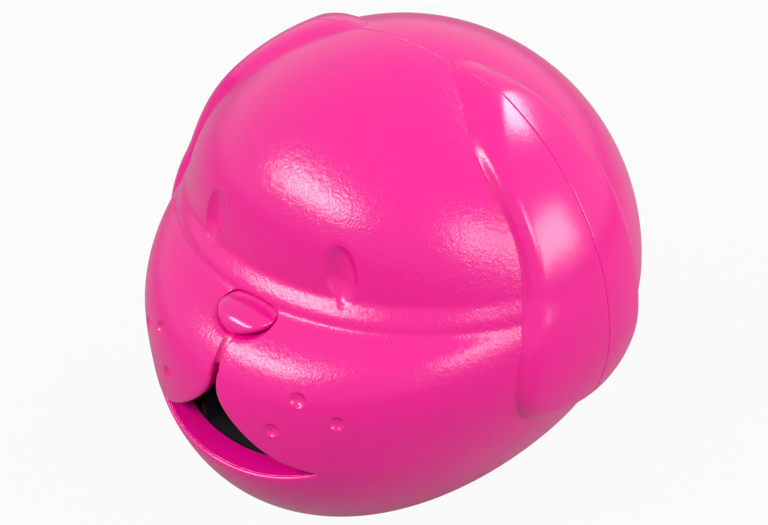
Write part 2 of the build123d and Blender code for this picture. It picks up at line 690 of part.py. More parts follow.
with BuildPart() as dispensing_flap:
    # hub and plate
    with BuildSketch(Plane.YZ.offset(-flap_half_width)):
        with Locations((PIVOT_Y, PIVOT_Z)):
            Circle(HUB_RADIUS)
        with Locations((PIVOT_Y, PIVOT_Z - flap_length / 2)):
            Rectangle(FLAP_THICKNESS, flap_length)
    extrude(amount=2 * flap_half_width)
    # forked lever, leaning forward at rest
    with BuildSketch(Plane.YZ.offset(-LEVER_THICKNESS / 2)):
        with Locations(Location((PIVOT_Y, PIVOT_Z), LEVER_SWING)):
            half_slot = CLEVIS_PIN_RADIUS + SLOT_CLEARANCE
            tip = LEVER_ARM + LEVER_TIP
            with Locations((0, tip / 2)):
                Rectangle(2 * (half_slot + LEVER_PRONG), tip)
            with Locations((0, tip / 2 + HUB_RADIUS)):
                Rectangle(2 * half_slot, tip, mode=Mode.SUBTRACT)
    extrude(amount=LEVER_THICKNESS)
    with BuildSketch(Plane.YZ.offset(-FAR)):
        with Locations((PIVOT_Y, PIVOT_Z)):
            Circle(FLAP_PIN_RADIUS + PIN_CLEARANCE)
    extrude(amount=2 * FAR, mode=Mode.SUBTRACT)

chute_side = CHUTE_HALF_WIDTH + CHUTE_WALL

with BuildPart() as flap_pin:
    with BuildSketch(Plane.YZ.offset(-chute_side)):
        with Locations((PIVOT_Y, PIVOT_Z)):
            Circle(FLAP_PIN_RADIUS)
    extrude(amount=2 * chute_side + PIN_TAIL)
    with BuildSketch(Plane.YZ.offset(-chute_side - PIN_HEAD_THICKNESS)):
        with Locations((PIVOT_Y, PIVOT_Z)):
            Circle(PIN_HEAD_RADIUS)
    extrude(amount=PIN_HEAD_THICKNESS)

with BuildPart() as pin_clip:
    with BuildSketch(Plane.YZ.offset(chute_side + RUNNING_CLEARANCE)):
        with Locations((PIVOT_Y, PIVOT_Z)):
            Circle(CLIP_RADIUS)
            Circle(FLAP_PIN_RADIUS + FIT, mode=Mode.SUBTRACT)
        with Locations((PIVOT_Y, PIVOT_Z + CLIP_RADIUS)):
            Rectangle(FLAP_PIN_RADIUS, 2 * CLIP_RADIUS - FLAP_PIN_RADIUS, mode=Mode.SUBTRACT)
    extrude(amount=CLIP_THICKNESS)


# ----------------------------------------------------------------- feed chute
with BuildPart() as feed_chute:
    top = HEAD_MIDDLE + CHUTE_TOP
    bearing = HEAD_MIDDLE + BEARING_TOP
    rear = CHUTE_REAR + CHUTE_WALL
    with BuildSketch(Plane.YZ.offset(-chute_side)):
        with BuildLine():
            Polyline(
                (rear, floor_height(rear) - CHUTE_WALL),
                (-CHUTE_END, floor_height(-CHUTE_END) - CHUTE_WALL),
                (-CHUTE_END, floor_height(-CHUTE_END) + TRAY_SIDE),
                (PIVOT_Y - 2 * BEARING_HALF_LENGTH, floor_height(PIVOT_Y) + TRAY_SIDE),
                (PIVOT_Y - BEARING_HALF_LENGTH, bearing),
                (PIVOT_Y + BEARING_HALF_LENGTH, bearing),
                (PIVOT_Y + BEARING_HALF_LENGTH + BEARING_SLOPE, top),
                (rear, top),
                close=True,
            )
        make_face()
    extrude(amount=2 * chute_side)
    # the channel
    with BuildSketch(Plane.YZ.offset(-CHUTE_HALF_WIDTH)):
        with BuildLine():
            Polyline(
                (CHUTE_REAR, floor_height(CHUTE_REAR)),
                (-FAR, floor_height(-FAR)),
                (-FAR, HEAD_MIDDLE + CROWN_HEIGHT),
                (CHUTE_REAR, HEAD_MIDDLE + CROWN_HEIGHT),
                close=True,
            )
        make_face()
    extrude(amount=2 * CHUTE_HALF_WIDTH, mode=Mode.SUBTRACT)
    # flange that carries the hopper
    with BuildSketch(Plane.XY.offset(top - CHUTE_FLANGE_THICKNESS)):
        with Locations((0, (HOPPER_FRONT + rear) / 2)):
            Rectangle(2 * FLANGE_HALF_WIDTH, rear - HOPPER_FRONT)
        with Locations((0, (THROAT_FRONT + THROAT_REAR) / 2)):
            Rectangle(2 * CHUTE_HALF_WIDTH, THROAT_REAR - THROAT_FRONT, mode=Mode.SUBTRACT)
        with Locations(*both_sides(HOPPER_SCREWS)):
            Circle(SCREW_RADIUS + RUNNING_CLEARANCE, mode=Mode.SUBTRACT)
    extrude(amount=CHUTE_FLANGE_THICKNESS)
    # lugs that meet the posts of the front shell
    lug_outer = CHUTE_POST_X + CHUTE_POST_RADIUS + LUG_MARGIN
    lug_middle = (CHUTE_HALF_WIDTH + lug_outer) / 2
    with BuildSketch(Plane.XZ.offset(-LUG_Y - LUG_THICKNESS)):
        for side in (-1, 1):
            with Locations((side * lug_middle, HEAD_MIDDLE + LUG_HEIGHT)):
                Rectangle(lug_outer - CHUTE_HALF_WIDTH, 2 * LUG_HALF_TALL)
        for side in (-1, 1):
            with Locations((side * CHUTE_POST_X, HEAD_MIDDLE + LUG_HEIGHT)):
                Circle(SCREW_RADIUS + RUNNING_CLEARANCE, mode=Mode.SUBTRACT)
        with Locations((0, HEAD_MIDDLE + LUG_HEIGHT)):
            Rectangle(2 * chute_side - CHUTE_WALL, 2 * LUG_HALF_TALL, mode=Mode.SUBTRACT)
    extrude(amount=LUG_THICKNESS)
    with BuildSketch(Plane.YZ.offset(-FAR)):
        with Locations((PIVOT_Y, PIVOT_Z)):
            Circle(FLAP_PIN_RADIUS + FIT)
    extrude(amount=2 * FAR, mode=Mode.SUBTRACT)

with BuildPart() as chute_screws:
    for side in (-1, 1):
        place = (side * CHUTE_POST_X, LUG_Y + LUG_THICKNESS, HEAD_MIDDLE + LUG_HEIGHT)
        add(small_screw.moved(Plane(origin=place, z_dir=(0, 1, 0)).location))


# --------------------------------------------------------------------- hopper
rim_fall = (HOPPER_FRONT_HEIGHT - HOPPER_REAR_HEIGHT) / (HOPPER_REAR - HOPPER_FRONT)
rim_slope = degrees(atan(rim_fall))
rim_middle = HOPPER_FRONT_HEIGHT + HOPPER_FRONT * tan(radians(rim_slope))


def funnel(inset):
    """The skewed funnel from the chute's throat to its sloping rim, drawn in by inset."""
    run = 1 / cos(radians(rim_slope))
    half_throat = CHUTE_HALF_WIDTH + HOPPER_WALL
    throat_back = THROAT_REAR + HOPPER_WALL
    rim_plane = Plane(
        origin=(0, 0, HEAD_MIDDLE + rim_middle + inset),
        x_dir=(1, 0, 0),
        z_dir=(0, sin(radians(rim_slope)), cos(radians(rim_slope))),
    )
    ends = (
        (Plane.XY.offset(top + inset), half_throat - inset, 1, throat_back - inset),
        (rim_plane, HOPPER_RIM_HALF_WIDTH - inset, run, HOPPER_REAR - inset),
    )
    with BuildPart() as form:
        for plane, half, stretch, back in ends:
            front = (HOPPER_FRONT + inset) * stretch
            with BuildSketch(plane):
                with BuildLine():
                    Polyline((-half, 0), (-half, front), (half, front), (half, 0))
                    EllipticalCenterArc((0, 0), half, back * stretch, start_angle=0, arc_size=180)
                make_face()
        loft(ruled=True)
    return form.part


with BuildPart() as hopper:
    add(funnel(0))
    # flange and bosses on the chute
    with BuildSketch(Plane.XY.offset(top)):
        with Locations((0, (HOPPER_FRONT + rear) / 2)):
            Rectangle(2 * FLANGE_HALF_WIDTH, rear - HOPPER_FRONT)
    extrude(amount=CHUTE_FLANGE_THICKNESS)
    with BuildSketch(Plane.XY.offset(top)):
        with Locations(*both_sides(HOPPER_SCREWS)):
            Circle(HOPPER_BOSS_RADIUS)
    extrude(amount=HOPPER_BOSS_HEIGHT)
    # inside and throat
    add(funnel(HOPPER_WALL), mode=Mode.SUBTRACT)
    with BuildSketch(Plane.XY.offset(top)):
        with Locations((0, (THROAT_FRONT + THROAT_REAR) / 2)):
            Rectangle(2 * CHUTE_HALF_WIDTH, THROAT_REAR - THROAT_FRONT)
    extrude(amount=2 * HOPPER_WALL, mode=Mode.SUBTRACT)
    with BuildSketch(Plane.XY.offset(top)):
        with Locations(*both_sides(HOPPER_SCREWS)):
            Circle(SCREW_RADIUS + FIT)
    extrude(amount=HOPPER_BOSS_HEIGHT - HOPPER_BOSS_CAP, mode=Mode.SUBTRACT)

with BuildPart() as hopper_screws:
    pilot_depth = HOPPER_BOSS_HEIGHT - HOPPER_BOSS_CAP
    short = pilot_depth - SCREW_END_GAP + CHUTE_FLANGE_THICKNESS
    flange_screw = screw(SCREW_RADIUS, short, SCREW_HEAD_RADIUS, SCREW_HEAD_HEIGHT)
    for x, y in both_sides(HOPPER_SCREWS):
        seat = Plane(origin=(x, y, top - CHUTE_FLANGE_THICKNESS), z_dir=(0, 0, -1))
        add(flange_screw.moved(seat.location))


# --------------------------------------------------------------- shell screws
with BuildPart() as shell_screws:
    shell_screw = screw(
        SHELL_SCREW_RADIUS,
        SHELL_SCREW_SEAT + SHELL_SCREW_BITE - SCREW_END_GAP,
        SHELL_SCREW_HEAD_RADIUS,
        SHELL_SCREW_HEAD_HEIGHT,
    )
    for x, height in both_sides(SHELL_SCREWS):
        place = (x, SHELL_SCREW_SEAT, HEAD_MIDDLE + height)
        add(shell_screw.moved(Plane(origin=place, z_dir=(0, 1, 0)).location))


# ----------------------------------------------------------------------- base
def countersunk(radius, length, head_radius):
    """A countersunk screw along +Z with the flat of its head at the origin."""
    with BuildPart() as body:
        with BuildSketch(Plane.XZ):
            with BuildLine():
                Polyline(
                    (0, 0), (head_radius, 0), (radius, head_radius - radius),
                    (radius, length), (0, length), close=True,
                )
            make_face()
        revolve(axis=Axis.Z)
        slot = head_radius * 1.1
        for turn in (0, 90):
            Box(slot, head_radius / 4, head_radius / 2, rotation=(0, 0, turn), mode=Mode.SUBTRACT)
    return body.part


with BuildPart() as base_plate:
    with BuildSketch(Plane.XY.offset(UNDERSIDE_Z)):
        with Locations((0, BASE_Y)):
            Circle(BASE_PLATE_RADIUS)
    extrude(amount=BASE_PLATE_THICKNESS)
    with Locations(Plane(origin=(0, BASE_Y, UNDERSIDE_Z), z_dir=(0, 0, -1))):
        with PolarLocations(BASE_SCREW_CIRCLE, BASE_SCREW_COUNT, start_angle=45):
            CounterSinkHole(
                SCREW_RADIUS + RUNNING_CLEARANCE,
                BASE_SCREW_HEAD_RADIUS + RUNNING_CLEARANCE,
            )
        CounterSinkHole(
            BALLAST_SCREW_RADIUS + RUNNING_CLEARANCE,
            BALLAST_SCREW_HEAD_RADIUS + RUNNING_CLEARANCE,
        )

with BuildPart() as base_screws:
    base_screw_length = BASE_PLATE_THICKNESS + SCREW_BITE - SCREW_END_GAP
    base_screw = countersunk(SCREW_RADIUS, base_screw_length, BASE_SCREW_HEAD_RADIUS)
    with Locations((0, BASE_Y, UNDERSIDE_Z)):
        with PolarLocations(BASE_SCREW_CIRCLE, BASE_SCREW_COUNT, start_angle=45):
            add(base_screw)

with BuildPart() as ballast_weight:
    with BuildSketch(Plane.XY.offset(PLATE_TOP_Z)):
        with Locations((0, BASE_Y)):
            Circle(BALLAST_RADIUS)
    extrude(amount=BALLAST_HEIGHT)
    with BuildSketch(Plane.XY.offset(PLATE_TOP_Z)):
        with Locations((0, BASE_Y)):
            Circle(BALLAST_SCREW_RADIUS + FIT)
    extrude(amount=BALLAST_HEIGHT, mode=Mode.SUBTRACT)
    rims = ballast_weight.edges().filter_by(GeomType.CIRCLE).sort_by(SortBy.RADIUS)[-2:]
    chamfer(rims, BALLAST_CHAMFER)

with BuildPart() as ballast_screw:
    through = BASE_PLATE_THICKNESS + BALLAST_HEIGHT - SCREW_END_GAP
    with Locations((0, BASE_Y, UNDERSIDE_Z)):
        add(countersunk(BALLAST_SCREW_RADIUS, through, BALLAST_SCREW_HEAD_RADIUS))

with BuildPart() as nonslip_pad:
    with BuildSketch():
        with Locations((0, BASE_Y)):
            Circle(PAD_RADIUS)
    extrude(amount=UNDERSIDE_Z)
    fillet(nonslip_pad.faces().sort_by(Axis.Z)[0].edges(), UNDERSIDE_Z / 4)


# --------------------------------------------------------------------- export
pieces = {
    "front_shell": front_shell,
    "rear_shell": rear_shell,
    "fill_door": fill_door,
    "door_seal": door_seal,
    "door_hinge_pin": hinge_pin,
    "nose_button": nose_button,
    "clevis_pin": clevis_pin,
    "nose_spring": nose_spring,
    "nose_guide": nose_guide,
    "guide_screws": guide_screws,
    "dispensing_flap": dispensing_flap,
    "flap_pin": flap_pin,
    "pin_clip": pin_clip,
    "feed_chute": feed_chute,
    "chute_screws": chute_screws,
    "hopper": hopper,
    "hopper_screws": hopper_screws,
    "shell_screws": shell_screws,
    "base_plate": base_plate,
    "base_screws": base_screws,
    "ballast_weight": ballast_weight,
    "ballast_screw": ballast_screw,
    "nonslip_pad": nonslip_pad,
}

os.makedirs("parts", exist_ok=True)
for label, piece in pieces.items():
    piece.part.label = label
    export_step(piece.part, f"parts/{label}.step")
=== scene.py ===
from math import cos, radians, sin, sqrt

import bmesh
import bpy
import numpy as np
from bpy.props import FloatProperty, FloatVectorProperty, IntProperty, PointerProperty
from mathutils import Matrix, Vector


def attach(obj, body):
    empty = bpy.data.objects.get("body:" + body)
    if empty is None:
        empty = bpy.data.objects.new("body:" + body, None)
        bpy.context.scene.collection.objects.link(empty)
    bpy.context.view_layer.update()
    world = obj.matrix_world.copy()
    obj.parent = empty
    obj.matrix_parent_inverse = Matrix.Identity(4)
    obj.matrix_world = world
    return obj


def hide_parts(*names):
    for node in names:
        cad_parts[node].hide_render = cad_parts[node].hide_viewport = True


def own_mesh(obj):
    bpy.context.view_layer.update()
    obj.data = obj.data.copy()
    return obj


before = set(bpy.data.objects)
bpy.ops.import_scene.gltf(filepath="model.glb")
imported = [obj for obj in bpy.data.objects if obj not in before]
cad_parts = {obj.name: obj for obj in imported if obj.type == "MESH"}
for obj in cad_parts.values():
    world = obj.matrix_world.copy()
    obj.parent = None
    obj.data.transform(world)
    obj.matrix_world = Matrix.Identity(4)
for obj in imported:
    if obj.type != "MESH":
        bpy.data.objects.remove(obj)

bl_info = {
    "name": "Puppy-Head Treat Dispenser",
    "version": (1, 0, 0),
    "blender": (4, 5, 0),
    "location": "3D View > Sidebar > Dispenser",
    "description": "Builds the moulded shells, nose, finishes and studio of a puppy-head treat dispenser",
    "category": "Object",
}

MM = 0.001
FAR = 1.0  # a distance in metres that stands for nowhere near
HAIR = 1e-5  # what a cutting tool is wider, so that no two faces coincide


def length(name, description, default):
    """A length property in metres, given in millimetres."""
    return FloatProperty(
        name=name, description=description, default=default * MM, unit="LENGTH", precision=5
    )


def colour(name, description, default):
    """A colour property."""
    return FloatVectorProperty(
        name=name, description=description, default=default, subtype="COLOR", size=3, min=0, max=1
    )


class DispenserSizes(bpy.types.PropertyGroup):
    """Sizes of the moulded head and of what its skin carries."""

    head_middle: length("Head middle", "Height of the head's middle above the floor", 56)
    skull_half_width: length("Skull half width", "From the middle plane to the cheek", 57.9)
    skull_rear_depth: length("Skull rear depth", "From the seam to the back of the head", 57.6)
    crown_height: length("Crown height", "From the head's middle to the crown", 58.585)
    face_depth: length("Face depth", "From the seam to the forehead", 49.4)
    muzzle_depth: length("Muzzle depth", "From the seam to the tip of the muzzle", 68.6)
    muzzle_drop: length("Muzzle drop", "How far the tip lies below the middle", 14)
    muzzle_rise: length("Muzzle rise", "From the tip up to where the muzzle would end", 32)
    chin_reach: length("Chin reach", "From the tip down to where the chin would end", 49.5)
    jaw_reach: length("Jaw reach", "Depth of the full cheek curve below the middle", 66)
    nape_reach: length("Nape reach", "Depth of the full nape curve below the middle", 60)
    brow_height: length("Brow height", "Height of the brow ridge above the middle", 14.9)
    brow_rise: length("Brow rise", "How far the brow ridge stands out", 3.2)
    brow_span: length("Brow span", "Half height of the brow ridge", 5.2)
    base_drop: length("Base drop", "From the middle down to the flat underside", 54)
    ear_thickness: length("Ear thickness", "How far the ears stand out", 2.9)
    ear_shoulder: length("Ear shoulder", "Rounding of the ears' edges", 3.1)
    seam_round: length("Seam rounding", "Rounding of the shells' meeting edges", 0.3)
    mouth_round: length("Mouth rounding", "Rounding of the mouth's edge", 1.1)
    nose_round: length("Nose opening rounding", "Rounding of the nose opening's edge", 0.7)
    groove_width: length("Groove width", "Width of the groove below the nose", 1.6)
    groove_depth: length("Groove depth", "Depth of the groove below the nose", 1.5)
    eye_length: length("Eye length", "Length of the almond-shaped hollows", 14.6)
    eye_width: length("Eye width", "Width of the almond-shaped hollows", 8)
    eye_depth: length("Eye depth", "Depth of the almond-shaped hollows", 1.9)
    dimple_radius: length("Dimple radius", "Radius of the whisker dimples", 1.75)
    dimple_depth: length("Dimple depth", "Depth of the whisker dimples", 0.8)
    ledge_depth: length("Ledge depth", "From the face to the ledge's inner edge", 6.4)
    ledge_rise: length("Ledge rise", "How far the ledge rises behind the lip", 1.2)
    door_radius: length("Door radius", "Radius of the fill door", 16)
    door_gap: length("Door gap", "Room around the fill door", 0.5)
    door_round: length("Door rounding", "Rounding along the door and its opening", 0.4)
    rows: IntProperty(
        name="Rows", description="Rows of faces from pole to pole, a multiple of 18", default=144, min=72
    )
    columns: IntProperty(
        name="Columns", description="Columns of faces around the head, a multiple of 4", default=212, min=96
    )


class DispenserFinishes(bpy.types.PropertyGroup):
    """Colours of the finishes."""

    pink: colour("Pink", "The shells, the door and the nose", (0.73, 0.002, 0.232))
    # Near black partly as the inner mouldings' own colour and partly as painted shade, so that the inside
    # seen through the mouth stays as dark as shadow.
    black_and_shade: colour("Black", "The chute, the hopper and the other inner mouldings", (0.007, 0.005, 0.007))
    acetal: colour("White", "The dispensing flap", (0.80, 0.80, 0.77))
    zinc: colour("Zinc", "Screws and pins", (0.60, 0.61, 0.63))
    spring: colour("Spring wire", "The return spring and the clip", (0.68, 0.69, 0.71))
    iron: colour("Cast iron", "The ballast weight", (0.11, 0.11, 0.12))
    rubber: colour("Rubber", "The door seal and the non-slip pad", (0.022, 0.022, 0.024))
    floor: colour("Floor", "The studio floor", (0.34, 0.34, 0.34))


# Outlines in millimetres from the head's middle.
EAR_OUTLINE = (
    (0.5, 57.0), (-7.4, 53.6), (-13.4, 48.2), (-16.4, 39.0), (-17.8, 28.5), (-20.6, 17.0),
    (-24.2, 6.0), (-25.2, -4.0), (-22.2, -10.2), (-12.5, -14.2), (2.0, -16.4), (13.8, -12.6),
    (16.8, 4.0), (16.2, 24.0), (14.2, 42.0), (9.6, 53.2),
)  # (y, height), seen from the side
MOUTH_LOBE = ((24.1, -18.4), (14.7, -14.5), (6.3, -8.3), (1.9, -3.2), (0.8, 3.0))  # (x, height)
MOUTH_LIP = ((-24.1, -18.4), (-13.0, -22.0), (0.0, -22.8), (13.0, -22.0), (24.1, -18.4))
MOUTH_END_Y = -51.3
MOUTH_EASE = 1.0015  # how much larger the mouth's tool is than the outline
LEDGE_START = (1.15, 0.06)  # behind the face and above the lip
LEDGE_THICKNESS = 1.6
TRAY_GAP = 0.25  # between the ledge and the chute's tray
EYE_PLACE = (19.0, 25.8)
EYE_TILT = 10.0
DIMPLES = ((21.2, 2.2), (16.3, -6.6), (29.4, -2.4))
NOSE_HEIGHT = 12.6
NOSE_HALF = (7.5, 3.2, 2.0)  # half width, half height below and above
NOSE_GAP = 0.3
NOSE_WAY_END_Y = -46.8
NOSE_REAR_Y = -30.0  # no part of the nose opening lies behind this
NOSE_ROOT_Y = -54.6
NOSE_DOME = 6.2  # how far the dome stands out of its root
NOSE_NECK = 6.2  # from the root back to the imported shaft
NOSE_SAG = 2.4  # how far the dome's tip lies below the rim's middle
NOSE_TRAVEL = 6.0
SPRING_ROOM = 0.02  # between the pressed spring and the nose's flange
SCREW_TUNNELS = ((44.0, -4.0), (28.0, -36.0))  # (x, height)
TUNNEL_RADIUS = 3.2
TUNNEL_START_Y = 14.0
TUNNEL_ROUND = 0.5
DOOR_TILT = 32.0  # of the fill door's outward axis above the level, in degrees
DOOR_TAB = (4.5, 19.0)  # half width of the tab, and its end below the door's middle
DOOR_NOTCH = (4.8, 22.3)  # the same of the notch it hangs in
NOTCH_SIDE = 4.6  # the line beside tab and notch along which the faces are small
HINGE_DROP = 3.0  # from the door's rim down to the pin
HINGE_RADIUS = 1.9
HINGE_EYES = (-8.3, 4.8)  # where the two eyes start along the pin
HINGE_EYE_LENGTH = 3.5
HINGE_ROOT = 2.2  # from the eyes' middle inward
HINGE_EDGE = 0.3
PIN_BORES = (0.83, 0.85)  # radius in the shell's eyes and in the door's barrel
OPENING_ENDS = (-4.0, 20.0)  # of the cutting tool, outward from the hinge pin
NOTCH_ENDS = (-4.0, 1.2)
DOOR_ENDS = (-8.0, 20.0)
TAB_ENDS = (-5.2, 1.2)
PACKED_CROWN = 58.6 * MM  # crown height from which the hinge's place is worked out
PAD_RECESS = (24.0, 2.0, -5.0)  # radius, depth and y of its middle
SKIN = 2.0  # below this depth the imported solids' own inner shapes are kept
FLOOR_SKIN = 1.9  # the same at the flat underside
ELLIPTIC = 2  # roundness of a plain ellipse; the others bulge out more or less
JAW_ROUNDNESS = 1.6
NAPE_ROUNDNESS = 1.9
CHIN_ROUNDNESS = 1.9
MUZZLE_ROUNDNESS = 3.5
FACE_SQUARENESS = 14  # how tightly the forehead turns into the crown
VALLEY_SHARPNESS = 40  # how tightly the skull turns into the muzzle
WALL_BROW = (17.4 * MM, 1.5 * MM, 5 * MM)  # height, rise and half height behind the skin
FLAT_SINE = sin(radians(70))  # the sphere's row that becomes the rim of the underside
EAR_ZONE = (6 * MM, 32 * MM)  # ears lie further out than the first, nearer the seam than the other
EAR_TOP = 30 * MM  # above this the ears' edge needs the smallest faces
EAR_FOOT = 0.45 * MM
EAR_SNAP = (0.05 * MM, 0.09 * MM)  # points this near are put on the edge, at the top and below
EYE_EDGE = 0.2 * MM
DIMPLE_EDGE = 0.25 * MM
GROOVE_WALL = 0.3 * MM
GROOVE_START = 0.5 * MM
FACE_ZONE = -40 * MM  # the mouth, the groove and the nose lie in front of this
HOLLOW_ZONE = 6 * MM  # a hollow ends within this distance of its own plane
POLISHED_BACK = 0.45  # how smooth the mould of the back is, where 1 is a mirror
POLISHED_EDGE = 0.8
EAR_POLISH = 0.6 * MM  # widths over which the polish comes in
HOLLOW_POLISH = 0.4 * MM
EDGE_POLISH = 1.2 * MM
DOOR_DIRECTION = Matrix.Rotation(radians(DOOR_TILT - 90), 3, "X")  # turns +Z to the outward axis
LYING = Matrix(((1, 0, 0, 0), (0, 0, 1, 0), (0, 1, 0, 0), (0, 0, 0, 1)))  # swaps Y and Z


# ---- head form
def sizes():
    """The sizes that the sidebar shows."""
    return bpy.context.scene.dispenser_sizes


def finishes():
    """The colours that the sidebar shows."""
    return bpy.context.scene.dispenser_finishes


def bulge(size, above, below, height, inset):
    """Half size of a rounded body at each height, from its reach and roundness above and below."""
    upper, lower = (
        (size - inset) * (1 - np.minimum(np.abs(height) / (reach - inset), 1) ** power) ** (1 / power)
        for reach, power in (above, below)
    )
    return np.where(height >= 0, upper, lower)


def half_width(height, inset):
    """How far the head reaches to the side at each height."""
    s = sizes()
    above, below = (s.crown_height, ELLIPTIC), (s.jaw_reach, JAW_ROUNDNESS)
    return bulge(s.skull_half_width, above, below, height, inset)


def depth(height, inset, rear):
    """How far the head reaches from the seam at each height."""
    s = sizes()
    above = (s.crown_height, ELLIPTIC)
    if rear:
        return bulge(s.skull_rear_depth, above, (s.nape_reach, NAPE_ROUNDNESS), height, inset)
    crown = np.maximum(bulge(s.crown_height, above, above, height, inset), 1e-6)
    power = -float(FACE_SQUARENESS)
    skull = (crown**power + (s.face_depth - inset) ** power) ** (1 / power)
    level, rise, span = s.brow_height, s.brow_rise, s.brow_span
    if np.min(inset) > 1 * MM:
        level, rise, span = WALL_BROW
    from_brow = np.minimum(np.abs(height - level) / span, 1)
    skull = skull + rise * (1 - from_brow**2) ** 2
    above, below = (s.muzzle_rise, MUZZLE_ROUNDNESS), (s.chin_reach, CHIN_ROUNDNESS)
    muzzle = bulge(s.muzzle_depth, above, below, height + s.muzzle_drop, inset)
    larger, power = np.maximum(skull, muzzle), VALLEY_SHARPNESS
    return larger * ((skull / larger) ** power + (muzzle / larger) ** power) ** (1 / power)


def head_points(directions, rear, inset):
    """The head's surface along unit directions, drawn in by inset, from the head's middle."""
    s = sizes()
    x, y, z = directions.T
    height = np.where(
        z >= 0,
        (s.crown_height - inset) * z,
        -(s.base_drop - inset) * np.minimum(-z / FLAT_SINE, 1),
    )
    rim = sqrt(1 - FLAT_SINE**2)
    disc = np.where(z < -FLAT_SINE, np.sqrt(np.maximum(1 - z**2, 0)) / rim, 1)
    around = np.arctan2(np.abs(y), x)
    across = half_width(height, inset) * disc * np.cos(around)
    along = depth(height, inset, rear) * disc * np.sin(around)
    return np.stack((across, along if rear else -along, height), 1)


def side_reach(y, height, rear, inset):
    """Distance of the head's surface from the middle plane, seen from the side."""
    share = np.minimum(np.abs(y) / np.maximum(depth(height, inset, rear), 1e-6), 1)
    return half_width(height, inset) * np.sqrt(1 - share**2)


def face_place(x, height):
    """A point of the face's surface, seen from the front."""
    share = x / half_width(np.array(height), 0)
    return np.array((x, -float(depth(np.array(height), 0, False)) * sqrt(1 - share**2), height))


def face_normal(x, height):
    """Outward direction of the face's surface."""
    step = 0.5 * MM
    slope_x = (face_place(x + step, height) - face_place(x - step, height))[1] / (2 * step)
    slope_z = (face_place(x, height + step) - face_place(x, height - step))[1] / (2 * step)
    normal = np.array((slope_x, -1.0, slope_z))
    return normal / np.linalg.norm(normal)


# ---- outlines
def smooth_outline(points, closed, per_span=12):
    """Points along the smooth cubic curve through the given ones."""
    p = np.array(points, float) * MM
    if closed:
        p = np.vstack((p, p[:1]))
    span = np.linalg.norm(np.diff(p, axis=0), axis=1)
    knots = np.concatenate(((0,), np.cumsum(span)))
    slope = np.diff(p, axis=0) / span[:, None]
    count = len(p) - 1 if closed else len(p)
    system, right = np.zeros((count, count)), np.zeros((count, 2))
    for i in range(count):
        if not closed and i in (0, count - 1):
            chosen = slice(0, 4) if i == 0 else slice(-4, None)
            ends = [np.polyder(np.polyfit(knots[chosen], p[chosen, axis], 3)) for axis in (0, 1)]
            system[i, i] = 1
            right[i] = [np.polyval(end, knots[i]) for end in ends]
            continue
        before, after = (i - 1) % count, i % count
        system[i, (i - 1) % count] += span[after]
        system[i, i] += 2 * (span[before] + span[after])
        system[i, (i + 1) % count] += span[before]
        right[i] = 3 * (span[after] * slope[before] + span[before] * slope[after])
    tangent = np.linalg.solve(system, right)
    if closed:
        tangent = np.vstack((tangent, tangent[:1]))
    u = np.linspace(0, 1, per_span, endpoint=False)[:, None]
    curve = []
    for i, run in enumerate(span):
        curve.append(
            (2 * u**3 - 3 * u**2 + 1) * p[i] + (u**3 - 2 * u**2 + u) * run * tangent[i]
            + (3 * u**2 - 2 * u**3) * p[i + 1] + (u**3 - u**2) * run * tangent[i + 1]
        )
    if not closed:
        curve.append(p[-1:])
    return np.vstack(curve)


def mouth_outline():
    """Closed outline of the mouth, seen from the front."""
    lobe = smooth_outline(MOUTH_LOBE, closed=False)
    lip = smooth_outline(MOUTH_LIP, closed=False)
    return np.vstack((lobe, lobe[::-1] * (-1, 1), lip[1:-1]))


def to_outline(places, outline):
    """Distance of each place from a closed outline, positive inside, and its nearest point."""
    start, end = outline, np.roll(outline, -1, axis=0)
    run = end - start
    reach, nearest = np.full(len(places), FAR), np.array(places, float)
    box_low, box_high = outline.min(0) - 4 * MM, outline.max(0) + 4 * MM
    near = np.flatnonzero(((places > box_low) & (places < box_high)).all(1))
    for chosen in np.array_split(near, len(near) // 3000 + 1):
        q = places[chosen][:, None]
        share = ((q - start) * run).sum(2) / (run**2).sum(1)
        foot = start + np.clip(share, 0, 1)[..., None] * run
        gap = np.linalg.norm(q - foot, axis=2)
        best = gap.argmin(1)
        row = np.arange(len(chosen))
        crosses = (start[:, 1] > q[..., 1]) != (end[:, 1] > q[..., 1])
        rise = np.where(run[:, 1] == 0, 1e-12, run[:, 1])
        at = start[:, 0] + (q[..., 1] - start[:, 1]) / rise * run[:, 0]
        inside = (crosses & (q[..., 0] < at)).sum(1) % 2 == 1
        reach[chosen] = np.where(inside, -gap[row, best], gap[row, best])
        nearest[chosen] = foot[row, best]
    return -reach, nearest


def ear_reach(points):
    """Distance from the ears' outline, positive inside, and its nearest point."""
    return to_outline(points[:, 1:], smooth_outline(EAR_OUTLINE, closed=True))


def mouth_reach(points):
    """Distance from the mouth's edge, positive inside."""
    return to_outline(points[:, ::2], mouth_outline())[0]


def quarter_round(distance, radius):
    """How far a rounded edge lies below its face at a distance from the edge, along the face."""
    left = np.clip(1 - distance / radius, 0, 1)
    return radius * (1 - np.sqrt(1 - left**2))


def soft_least(a, b, width):
    """The lesser of two values, with the change between them rounded."""
    share = np.clip(0.5 + 0.5 * (b - a) / width, 0, 1)
    return b * (1 - share) + a * share - width * share * (1 - share)


